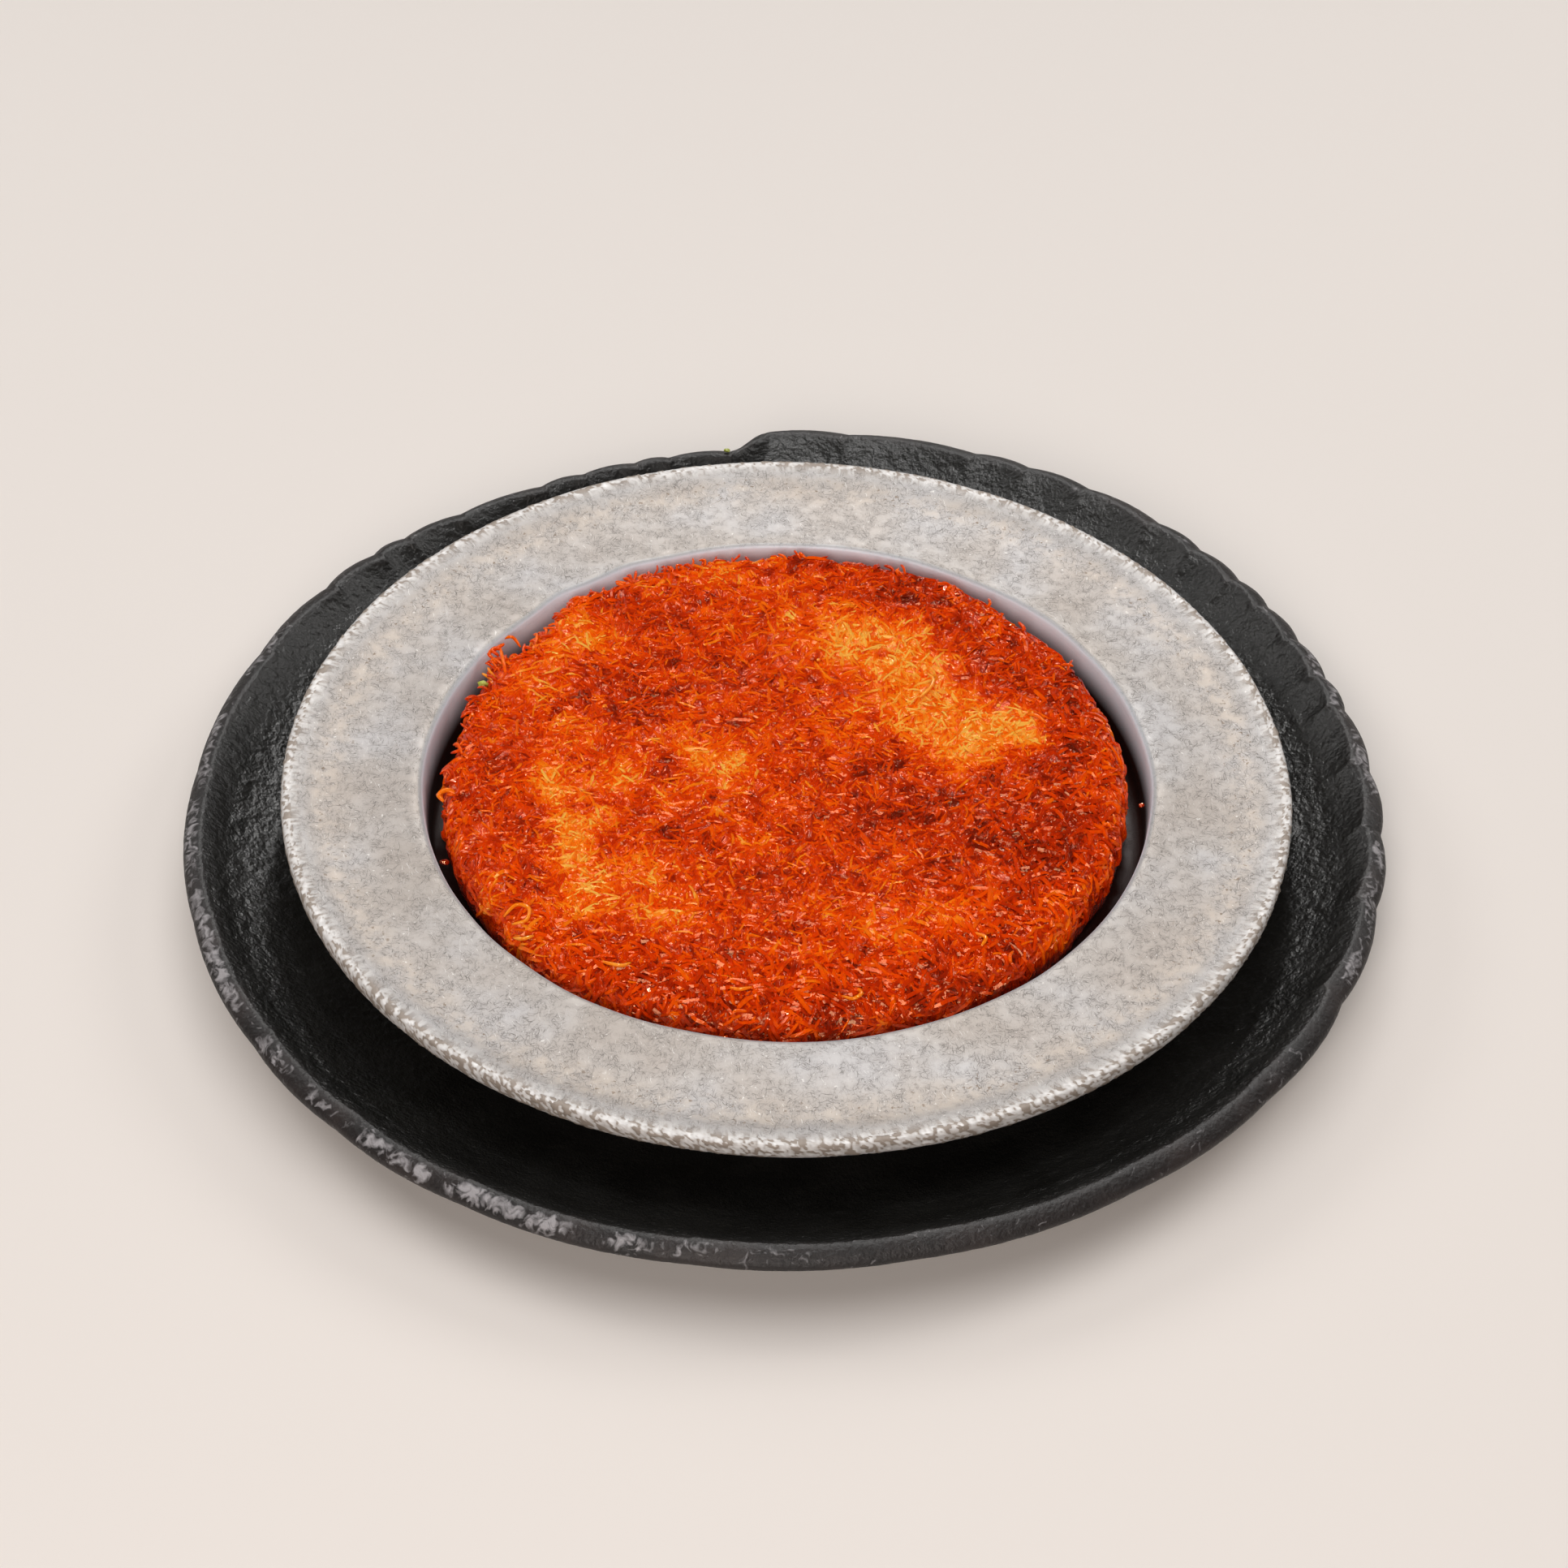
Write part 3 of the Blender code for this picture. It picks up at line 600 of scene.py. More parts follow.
# %% Hammer marks
def hammer_tree():
    tree, given = new_tree("hammer_marks", (
        ("Centre", "Vector"), ("Mark Size", "Float"), ("Mark Depth", "Float"),
        ("Wave Depth", "Float"), ("Material", "Material")))
    place = add(tree, "GeometryNodeInputPosition")
    from_axis = add(tree, "ShaderNodeVectorMath", {0: place, 1: given.outputs["Centre"]},
                    operation="SUBTRACT")
    parts = add(tree, "ShaderNodeSeparateXYZ", {0: from_axis}).outputs
    turn = add(tree, "ShaderNodeMath", {0: parts[1], 1: parts[0]}, operation="ARCTAN2")
    along = add(tree, "ShaderNodeMath", {0: turn, 1: DISH_RADIUS}, operation="MULTIPLY")
    across_lip = add(tree, "ShaderNodeVectorMath", {0: from_axis}, operation="LENGTH")
    around = add(tree, "ShaderNodeCombineXYZ", {
        0: add(tree, "ShaderNodeMath", {
            0: along,
            1: add(tree, "ShaderNodeMath", {0: parts[2], 1: 0.7},
                   operation="MULTIPLY")}, operation="ADD"),
        1: parts[2], 2: across_lip})
    scatter = add(tree, "ShaderNodeTexNoise", {"Vector": place, "Scale": 1 / (2.6 * MM), "Detail": 2.0})
    scatter = scatter.outputs["Color"]
    shove = add(tree, "ShaderNodeVectorMath", {0: scatter, "Scale": 2.6 * MM}, operation="SCALE")
    around = add(tree, "ShaderNodeVectorMath", {0: around, 1: shove}, operation="ADD")
    scale = add(tree, "ShaderNodeMath", {0: 1.0, 1: given.outputs["Mark Size"]}, operation="DIVIDE")
    cells = add(tree, "ShaderNodeTexVoronoi", {"Vector": around, "Scale": scale, "Randomness": 1.0})
    from_cell = add(tree, "ShaderNodeVectorMath", {0: around, 1: cells.outputs["Position"]},
                    operation="SUBTRACT")
    across = add(tree, "ShaderNodeVectorMath", {0: from_cell, "Scale": scale}, operation="SCALE")
    tilt = add(tree, "ShaderNodeVectorMath", {0: cells.outputs["Color"], 1: (0.5, 0.5, 0.5)},
               operation="SUBTRACT")
    facet = add(tree, "ShaderNodeVectorMath", {0: across, 1: tilt}, operation="DOT_PRODUCT")
    grooves = add(tree, "ShaderNodeMath", {0: cells.outputs["Distance"], 1: -0.7}, operation="MULTIPLY")
    nick = add(tree, "ShaderNodeMath", {
        0: add(tree, "ShaderNodeMath", {0: facet, 1: 2.2}, operation="MULTIPLY"),
        1: grooves}, operation="ADD")
    lip = add(tree, "GeometryNodeInputNamedAttribute", {0: "lip"}, data_type="FLOAT")
    swell = add(tree, "ShaderNodeTexNoise", {"Vector": place, "Scale": 1 / (22 * MM), "Detail": 1.0})
    force = add(tree, "ShaderNodeMapRange", {
        "Value": swell, "From Min": 0.35, "From Max": 0.65, "To Min": 0.3, "To Max": 1.3})
    marks = add(tree, "ShaderNodeMath", {
        0: add(tree, "ShaderNodeMath", {0: nick, 1: lip}, operation="MULTIPLY"),
        1: add(tree, "ShaderNodeMath", {0: given.outputs["Mark Depth"], 1: force},
               operation="MULTIPLY")}, operation="MULTIPLY")
    loose = add(tree, "ShaderNodeMath", {0: lip, 1: 0.4}, operation="ADD")
    waves = add(tree, "ShaderNodeMath", {
        0: add(tree, "ShaderNodeMath", {0: swell, 1: 0.5}, operation="SUBTRACT"),
        1: add(tree, "ShaderNodeMath", {0: given.outputs["Wave Depth"], 1: loose},
               operation="MULTIPLY")}, operation="MULTIPLY")
    # The mark's height is kept for the lip's colour, which paints shade into the grooves
    kept = add(tree, "GeometryNodeStoreNamedAttribute", {
        "Geometry": given.outputs[0], "Name": "nick",
        "Value": add(tree, "ShaderNodeMath", {0: nick, 1: 0.6},
                     operation="ADD")}, data_type="FLOAT", domain="POINT")
    moved = add(tree, "ShaderNodeMath", {0: marks, 1: waves}, operation="ADD")
    normal = add(tree, "GeometryNodeInputNormal")
    offset = add(tree, "ShaderNodeVectorMath", {0: normal, "Scale": moved}, operation="SCALE")
    shifted = add(tree, "GeometryNodeSetPosition", {"Geometry": kept, "Offset": offset})
    return end_tree(tree, given, shifted)


# %% [markdown]
# Worn aluminium: scouring and an oxide film leave the sheet half a metal mirror and half a
# grey skin, so metallic is 0.5, and less on the lip and the wall. Colour is the tint of its
# reflection. It is satin, with short random scratches, grey specks and tea-coloured stains
# near the turned edge. Scratches are about 0.15 mm wide and 2 mm long.

# %% Aluminium
def streak_noise(tree, place, degrees, length, width, seed):
    """Noise drawn out along one direction, in real sizes."""
    turned = add(tree, "ShaderNodeMapping", {
        "Vector": place, "Location": (seed, seed * 0.7, seed * 0.3),
        "Rotation": (0.0, 0.0, math.radians(degrees)),
        "Scale": (length, width, length)}, vector_type="TEXTURE")
    return add(tree, "ShaderNodeTexNoise", {"Vector": turned, "Scale": 1.0, "Detail": 1.0})


def make_aluminium():
    metal, tree, shader = new_material("scoured_aluminium_spun")
    place = add(tree, "ShaderNodeTexCoord").outputs["Object"]
    lip = add(tree, "ShaderNodeAttribute", attribute_name="lip").outputs["Fac"]
    nick = add(tree, "ShaderNodeAttribute", attribute_name="nick").outputs["Fac"]
    reach = add(tree, "ShaderNodeAttribute", attribute_name="reach").outputs["Fac"]
    depth = add(tree, "ShaderNodeAttribute", attribute_name="well_depth").outputs["Fac"]
    cloud = add(tree, "ShaderNodeTexNoise", {"Vector": place, "Scale": 1 / (24 * MM), "Detail": 5.0})
    body = add(tree, "ShaderNodeValToRGB", {0: cloud},
               stops=((0.36, "#a29a93"), (0.5, "#a7a19c"), (0.64, "#aaa7a6")))
    outer = add(tree, "ShaderNodeMapRange", {"Value": reach, "From Min": 0.93, "From Max": 0.96})
    beige = add(tree, "ShaderNodeMath", {
        0: add(tree, "ShaderNodeMapRange", {"Value": reach, "From Min": 0.86, "From Max": 0.9}),
        1: add(tree, "ShaderNodeMapRange", {
            "Value": reach, "From Min": 0.96, "From Max": 0.93})}, operation="MULTIPLY")
    body = add(tree, "ShaderNodeMix", {
        "Factor": add(tree, "ShaderNodeMath", {0: outer, 1: 0.6}, operation="MULTIPLY"),
        "A": body, "B": "#a4a2a1"}, data_type="RGBA")
    patch = add(tree, "ShaderNodeTexNoise", {"Vector": place, "Scale": 1 / (3.2 * MM), "Detail": 7.0})
    mottle = add(tree, "ShaderNodeMapRange", {
        "Value": patch, "From Min": 0.42, "From Max": 0.72, "To Max": 0.22})
    body = add(tree, "ShaderNodeMix", {"Factor": mottle, "A": body, "B": "#938c86"}, data_type="RGBA")
    tea = add(tree, "ShaderNodeMapRange", {
        "Value": patch, "From Min": 0.6, "From Max": 0.35, "To Max": 0.5})
    body = add(tree, "ShaderNodeMix", {
        "Factor": add(tree, "ShaderNodeMath", {0: beige, 1: tea}, operation="MULTIPLY"),
        "A": body, "B": "#a5998c"}, data_type="RGBA")
    drift = add(tree, "ShaderNodeTexNoise", {"Vector": place, "Scale": 1 / (2.4 * MM), "Detail": 0.0})
    bend = add(tree, "ShaderNodeVectorMath", {0: drift.outputs["Color"], "Scale": 1.6 * MM},
               operation="SCALE")
    curled = add(tree, "ShaderNodeVectorMath", {0: place, 1: bend}, operation="ADD")
    lines = 0.0
    for index, (degrees, length, width) in enumerate((
            (12, 2.2, 0.17), (48, 1.7, 0.15), (83, 2.4, 0.16), (121, 1.8, 0.15), (157, 2.0, 0.17))):
        grain = streak_noise(tree, curled, degrees, length * MM, width * MM, 0.31 * (index + 1))
        lines = add(tree, "ShaderNodeMath", {
            0: lines,
            1: add(tree, "ShaderNodeMapRange", {
                "Value": grain, "From Min": 0.65, "From Max": 0.72})}, operation="MAXIMUM")
    gather = add(tree, "ShaderNodeMapRange", {"Value": patch, "From Min": 0.34, "From Max": 0.56})
    lines = add(tree, "ShaderNodeMath", {0: lines, 1: gather}, operation="MULTIPLY")
    body = add(tree, "ShaderNodeMix", {
        "Factor": add(tree, "ShaderNodeMath", {0: lines, 1: 0.7}, operation="MULTIPLY"),
        "A": body, "B": "#5f5954"}, data_type="RGBA")
    bright = streak_noise(tree, curled, 104, 2.6 * MM, 0.16 * MM, 4.3)
    body = add(tree, "ShaderNodeMix", {
        "Factor": add(tree, "ShaderNodeMapRange", {
            "Value": bright, "From Min": 0.7, "From Max": 0.76, "To Max": 0.6}),
        "A": body, "B": "#d6d3d0"}, data_type="RGBA")
    speck = add(tree, "ShaderNodeTexNoise", {"Vector": place, "Scale": 1 / (1.1 * MM), "Detail": 2.0})
    body = add(tree, "ShaderNodeMix", {
        "Factor": add(tree, "ShaderNodeMapRange", {
            "Value": speck, "From Min": 0.7, "From Max": 0.76, "To Max": 0.6}),
        "A": body, "B": "#d6d2ce"}, data_type="RGBA")
    grubby = add(tree, "ShaderNodeMath", {
        0: add(tree, "ShaderNodeMapRange", {"Value": speck, "From Min": 0.36, "From Max": 0.28}),
        1: add(tree, "ShaderNodeMath", {0: beige, 1: 0.25}, operation="ADD")}, operation="MULTIPLY")
    body = add(tree, "ShaderNodeMix", {
        "Factor": add(tree, "ShaderNodeMath", {0: grubby, 1: 0.7}, operation="MULTIPLY"),
        "A": body, "B": "#7c6c5d"}, data_type="RGBA")
    # The lip is pale on the raised facets and brown in the grooves: painted shade in the cuts
    edge = add(tree, "ShaderNodeValToRGB", {0: nick},
               stops=((0.0, "#95897e"), (0.1, "#bbb4ae"), (0.35, "#d0ccc9"), (0.9, "#eae8e6")))
    body = add(tree, "ShaderNodeMix", {"Factor": lip, "A": body, "B": edge}, data_type="RGBA")
    # The well's wall is painted pale and cool: painted brightness for the lit wall, whose blue tint also
    # offsets the cake's pink reflection
    wall = add(tree, "ShaderNodeMapRange", {"Value": depth, "From Min": 0.0, "From Max": 0.05})
    body = add(tree, "ShaderNodeMix", {"Factor": wall, "A": body, "B": "#e6f1fa"}, data_type="RGBA")
    # Deeper down the wall, in the narrow gap beside the cake, the colour turns dark red-brown: painted shade
    # with the cake's dark reflection
    painted_gap_shade = add(tree, "ShaderNodeMapRange", {"Value": depth, "From Min": 0.16, "From Max": 0.6})
    body = add(tree, "ShaderNodeMix", {"Factor": painted_gap_shade, "A": body, "B": "#2a0d06"}, data_type="RGBA")
    cleaner = add(tree, "ShaderNodeMath", {0: lip, 1: wall}, operation="MAXIMUM")
    metallic = add(tree, "ShaderNodeMath", {
        0: 0.5,
        1: add(tree, "ShaderNodeMath", {0: cleaner, 1: 0.35}, operation="MULTIPLY")}, operation="SUBTRACT")
    rough = add(tree, "ShaderNodeMapRange", {"Value": patch, "To Min": 0.45, "To Max": 0.6})
    fine = add(tree, "ShaderNodeTexNoise", {"Vector": place, "Scale": 1 / (0.9 * MM), "Detail": 4.0})
    relief = add(tree, "ShaderNodeMath", {
        0: fine,
        1: add(tree, "ShaderNodeMath", {0: lines, 1: 0.8}, operation="MULTIPLY")}, operation="SUBTRACT")
    bump = add(tree, "ShaderNodeBump", {"Height": relief, "Strength": 0.5, "Distance": 0.06 * MM})
    fill(tree, shader, {"Base Color": body, "Metallic": metallic, "Roughness": rough, "Normal": bump})
    return metal


aluminium = make_aluminium()
dish_blank = make_dish_blank(aluminium)
dish = run_tree(dish_blank, hammer_tree(), {
    "Centre": (*dish_axis, 0.0), "Mark Size": 1.3 * MM, "Mark Depth": 0.22 * MM,
    "Wave Depth": 0.5 * MM, "Material": aluminium}, "hammered_dish")
bpy.data.objects.remove(dish_blank, do_unlink=True)

# %% [markdown]
# ## The kunafa
# Kadayif is thin dough poured in threads, chopped, packed into the buttered dish, baked
# and drowned in syrup. Two things make its look: where it browned, and the mat of threads.
# Browning is one number at each point, from 0, pale gold, to 1, nearly burnt. It is written
# first, from patches listed in millimetres, and every thread then picks it up.

# %% Where the crust browned
# Each patch: millimetres to the right, millimetres away from the eater, radius, strength
PALE_PATCHES = (
    (12, 53, 6, .25), (19, 49, 6, .4), (28, 46, 6, .45), (15, 41, 5, .35), (24, 36, 6, .4),
    (34, 36, 5, .35), (36, 28, 6, .4), (30, 22, 5, .35), (31, 17, 5, .4), (43, 13, 7, .5),
    (51, 17, 5, .5), (41, 6, 5, .3), (56, 13, 4, .35), (20, 22, 6, .25), (5, 42, 6, .15),
    (-54, 2, 4, .3), (-50, -5, 5, .45), (-46, -18, 5, .45), (-47, -27, 5, .4), (-41, -37, 6, .45),
    (-37, -2, 5, .35), (-29, -33, 6, .2), (-26, -45, 6, .25), (-40, -13, 3, .3), (-13, 1, 6, .3),
    (-19, 6, 5, .2), (-24, 12, 4, .15), (-44, 46, 6, .25), (-55, 42, 7, .2), (-60, 30, 6, .2),
    (-44, 15, 5, .25), (-50, 53, 6, .2), (-14, 71, 9, .22), (-33, 66, 4, .2), (36, -44, 6, .2),
    (22, -49, 6, .2), (56, -47, 6, .15), (-26, -9, 4, .2), (-64, -37, 4, .2), (0, 57, 5, .15),
    (-7, -20, 5, .12), (-57, -48, 4, .15),
)
BROWN_PATCHES = (
    (-38, 60, 7, .25), (-21, 64, 5, .2), (-40, 35, 6, .3), (-26, 39, 3, .25), (-33, 25, 4, .35),
    (-47, 25, 3, .25), (-9, 34, 6, .2), (31, 62, 11, .25), (15, 59, 6, .2), (50, 32, 8, .3),
    (64, 26, 6, .3), (44, 44, 6, .2), (60, 3, 7, .3), (66, 9, 5, .2), (21, 3, 6, .25),
    (46, -3, 5, .25), (30, -12, 7, .35), (38, -8, 4, .25), (19, -15, 7, .25), (52, -12, 6, .3),
    (44, -20, 5, .35), (56, -27, 8, .35), (64, -22, 6, .2), (35, -31, 6, .25), (48, -42, 6, .3),
    (47, -53, 5, .25), (29, -61, 5, .3), (-27, 1, 3, .25), (-66, 3, 6, .2), (-57, -17, 4, .15),
    (-56, -33, 6, .2), (-20, -17, 5, .15), (-33, -9, 4, .2), (-22, -60, 9, .2), (-2, -39, 5, .15),
    (-67, -9, 6, .2), (57, 16, 1.6, .45), (65, -13, 7, .2), (-38, 20, 6, .15), (5, -27, 6, .1),
    (36, 59, 6, .15),
)
BASE_BROWNING = 0.48
PALEST = 0.14


def browning_at(coords):
    """Browning of each point of the cake, from 0 to 1."""
    flat = (coords[:, :2] - axis) / MM
    value = np.full(len(coords), BASE_BROWNING)
    wobble = np.stack((noise_at(coords, 6 * MM, 11.0), noise_at(coords, 6 * MM, 23.0)), axis=1)
    fray = np.stack((noise_at(coords, 2.2 * MM, 61.0), noise_at(coords, 2.2 * MM, 73.0)), axis=1)
    spots = flat + 2.2 * wobble + 1.8 * fray
    for change, patches in ((-1.0, PALE_PATCHES), (0.55, BROWN_PATCHES)):
        for x, y, radius, strength in patches:
            away = np.hypot(spots[:, 0] - x, spots[:, 1] - y) / (1.1 * radius)
            value += change * strength * np.exp(-away ** 2)
    # Even the palest places keep a little browning for the noise below to vary
    value = np.where(value < PALEST, PALEST + 0.35 * (value - PALEST), value)
    value += 0.06 * noise_at(coords, 7 * MM, 5.0) + 0.13 * noise_at(coords, 2.6 * MM, 9.0)
    value += 0.22 * smooth_ramp(noise_at(coords, 4.6 * MM, 31.0), 0.25, 0.6)
    value -= 0.12 * smooth_ramp(noise_at(coords, 5.2 * MM, 47.0), 0.25, 0.6)
    reach = np.hypot(flat[:, 0], flat[:, 1])
    depth = (CAKE_TOP - coords[:, 2]) / MM
    value += 0.06 * smooth_ramp(depth, 2.0, 6.0) + 0.14 * smooth_ramp(depth, 6.0, 13.0)
    value += 0.08 * smooth_ramp(-flat[:, 1], 45.0, 75.0) * smooth_ramp(reach, 60.0, 75.0)
    return np.clip(value, 0.0, 1.0)


# %% [markdown]
# The bare cake under the threads is a disc of even triangles, 0.75 mm wide, so that its
# edge frays evenly too. Noise of a few sizes stands for tufts, and some bites of the edge
# have crumbled away.

# %% Bare cake
CAKE_TOP = 23.4 * MM
CAKE_BOTTOM = 7.8 * MM
PLATEAU_RADIUS = 72.4 * MM
SHOULDER_RADIUS = 75.0 * MM
WAIST_RADIUS = 76.6 * MM
CAKE_RINGS = 96
# Swells and bites of the edge: degrees from +X, half width in degrees, how far out
EDGE_SWELLS = (
    (58.0, 11.0, 2.6 * MM), (78.0, 9.0, 1.8 * MM), (95.0, 12.0, 1.4 * MM), (115.0, 12.0, 1.6 * MM),
    (129.0, 5.0, 2.4 * MM), (150.0, 3.0, 2.4 * MM), (209.0, 9.0, -1.2 * MM), (318.0, 22.0, -1.0 * MM),
    (80.0, 1.6, -1.4 * MM), (171.0, 5.0, -1.6 * MM), (137.5, 2.2, -1.4 * MM), (143.5, 1.8, -0.8 * MM),
)
BACK_RISE = 1.2 * MM


def edge_offset(angles):
    degrees = np.degrees(angles) % 360.0
    circle = np.stack((np.cos(angles), np.sin(angles), np.full_like(angles, 2.0)), axis=1)
    offset = 1.1 * MM * noise_at(circle, 0.33, 5.0) + 0.9 * MM * noise_at(circle, 0.07, 8.0)
    for centre, width, swell in EDGE_SWELLS:
        offset += swell * np.exp(-((degrees - centre) / width) ** 2)
    return offset


def crust_relief(flat):
    points = np.column_stack((flat, np.zeros(len(flat))))
    tufts = 0.45 * noise_at(points, 7.5 * MM, 1.0) + 0.5 * noise_at(points, 3.0 * MM, 4.0)
    return MM * (tufts + 0.3 * noise_at(points, 1.4 * MM, 6.0))


def coarse_at(coords):
    """Where the threads are loose and thick: along the edge, most in front and at the right."""
    flat = (coords[:, :2] - axis) / MM
    reach = np.hypot(flat[:, 0], flat[:, 1])
    facing = smooth_ramp(0.75 * flat[:, 0] - flat[:, 1], -20.0, 75.0)
    return smooth_ramp(reach, 68.0 - 22.0 * facing, 76.0 - 10.0 * facing) * (0.35 + 0.65 * facing)


def even_disc(rings):
    """Shares of the radius, angles and triangles of a disc with 6k points in ring k."""
    share, angle, faces = [0.0], [0.0], []
    inner = [0]
    for ring in range(1, rings + 1):
        count = 6 * ring
        first = len(share)
        share += [ring / rings] * count
        angle += [math.tau * step / count for step in range(count)]
        outer = list(range(first, first + count))
        for sector in range(6):
            for step in range(ring):
                near = inner[(sector * (ring - 1) + step) % len(inner)]
                far, far_ahead = outer[sector * ring + step], outer[(sector * ring + step + 1) % count]
                faces.append((near, far, far_ahead))
                if step < ring - 1:
                    faces.append((near, far_ahead, inner[(sector * (ring - 1) + step + 1) % len(inner)]))
        inner = outer
    return np.array(share), np.array(angle), faces


def make_cake(crust):
    share, angle, faces = even_disc(CAKE_RINGS)
    radius = share * (PLATEAU_RADIUS + share ** 8 * edge_offset(angle))
    flat = np.stack((radius * np.cos(angle), radius * np.sin(angle)), axis=1)
    rim_dip = 0.35 * MM * smooth_ramp(share, 0.93, 1.0)
    coords = [np.column_stack((flat, CAKE_TOP + crust_relief(flat) - rim_dip))]
    count = 6 * CAKE_RINGS
    angles = np.arange(count) * math.tau / count
    offset = edge_offset(angles)
    side = rounded((
        (PLATEAU_RADIUS, CAKE_TOP - 0.35 * MM), (SHOULDER_RADIUS - 0.5 * MM, CAKE_TOP - 0.8 * MM),
        (SHOULDER_RADIUS + 0.9 * MM, CAKE_TOP - 3.2 * MM), (WAIST_RADIUS, CAKE_TOP - 8.5 * MM),
        (WAIST_RADIUS - 0.3 * MM, CAKE_TOP - 12.0 * MM), (WAIST_RADIUS - 1.8 * MM, CAKE_BOTTOM)), 1)
    rows = finer([tuple(row) for row in side], 0.9 * MM)[1:]
    first = len(share) - count
    for reach, height in rows:
        ring = np.column_stack(((reach + offset) * np.cos(angles), (reach + offset) * np.sin(angles)))
        points = np.column_stack((ring, np.full(count, height)))
        rough = 0.5 * noise_at(points, 3.2 * MM, 2.0) + 0.3 * noise_at(points, 1.2 * MM, 7.0)
        fade = min(1.0, (height - CAKE_BOTTOM) / (2.0 * MM))
        points[:, :2] *= (1.0 + fade * rough * MM / reach)[:, None]
        coords.append(points)
        base = first + count
        steps = np.arange(count)
        ahead = (steps + 1) % count
        faces += np.stack((first + steps, base + steps, base + ahead, first + ahead), 1).tolist()
        first = base
    coords.append(np.array([(0.0, 0.0, CAKE_BOTTOM)]))
    tip = first + count
    faces += [(first + step, tip, first + (step + 1) % count) for step in range(count)]
    coords = np.vstack(coords)
    rise = BACK_RISE * smooth_ramp(coords[:, 1], 25 * MM, 70 * MM)
    coords[:, 2] += rise * (coords[:, 2] - CAKE_BOTTOM) / (CAKE_TOP - CAKE_BOTTOM)
    coords[:, :2] += cake_axis
    cake = mesh_object("kunafa_cake", coords, faces, crust)
    coarse = coarse_at(coords)
    # The bare crust is drawn browner than the threads on it, more where they lie loose: painted shade in the
    # gaps between threads
    point_attribute(cake, "browning", np.clip(browning_at(coords) + 0.1 + 0.05 * coarse, 0.0, 1.0))
    point_attribute(cake, "coarse", coarse)
    return cake


# %% [markdown]
# Syrup-soaked pastry: thin fried dough is see-through, so light enters and leaves again a
# little further on, which subsurface scattering gives. Butter and syrup soak the crust, so
# its own shine is strong and amber, with an IOR of 1.55. A thin clear coat stands for the
# syrup that lies on top, and fine bumps split the shine into glints.

# %% Pastry and syrup
def make_pastry(name, felted):
    pastry, tree, shader = new_material(name)
    place = add(tree, "ShaderNodeTexCoord").outputs["Object"]
    browning = add(tree, "ShaderNodeAttribute", attribute_name="browning").outputs["Fac"]
    fleck = add(tree, "ShaderNodeTexNoise", {"Vector": place, "Scale": 1 / (1.2 * MM), "Detail": 3.0})
    tone = add(tree, "ShaderNodeMath", {
        0: browning,
        1: add(tree, "ShaderNodeMath", {
            0: add(tree, "ShaderNodeMath", {0: fleck, 1: 0.5}, operation="SUBTRACT"),
            1: 0.35}, operation="MULTIPLY")}, operation="ADD")
    drops = add(tree, "ShaderNodeTexNoise", {"Vector": place, "Scale": 1 / (0.5 * MM), "Detail": 2.0})
    height = drops
    if felted:
        for index, degrees in enumerate((20, 75, 130)):
            streak = streak_noise(tree, place, degrees, 2.6 * MM, 0.5 * MM, 0.17 * (index + 1))
            tone = add(tree, "ShaderNodeMath", {
                0: tone,
                1: add(tree, "ShaderNodeMath", {
                    0: add(tree, "ShaderNodeMath", {0: streak, 1: 0.5}, operation="SUBTRACT"),
                    1: 0.45}, operation="MULTIPLY")}, operation="ADD")
            height = add(tree, "ShaderNodeMath", {
                0: height,
                1: add(tree, "ShaderNodeMath", {0: streak, 1: 1.6},
                       operation="MULTIPLY")}, operation="ADD")
    colour = add(tree, "ShaderNodeValToRGB", {
        0: tone}, stops=(
            (0.0, "#ffbe50"), (0.18, "#ff8a14"), (0.36, "#f86002"), (0.52, "#e84501"),
            (0.68, "#cb3101"), (0.84, "#a02103"), (1.0, "#701605")))
    depth = (0.16 if felted else 0.06) * MM
    bump = add(tree, "ShaderNodeBump", {"Height": height, "Strength": 1.0, "Distance": depth})
    fill(tree, shader, {
        "Base Color": colour, "Roughness": 0.07, "IOR": 1.55, "Specular Tint": "#ffb25c",
        "Subsurface Weight": 0.25, "Subsurface Radius": (1.0, 0.3, 0.06), "Subsurface Scale": 0.8 * MM,
        "Coat Weight": 0.35, "Coat Roughness": 0.05, "Coat IOR": 1.5,
        "Normal": bump, "Coat Normal": bump})
    return pastry


# %% [markdown]
# The threads are laid by Geometry Nodes. Points are strewn on the cake, each gets a short
# straight line, and the lines are then bent by noise, pressed towards the cake's surface by
# a share called Hug, and given a flat-sided section that thins at both ends, because flat
# sides flash one by one as sugary dough does. Neighbours lie roughly alike, as tufts do,
# because part of each line's heading comes from smooth noise.

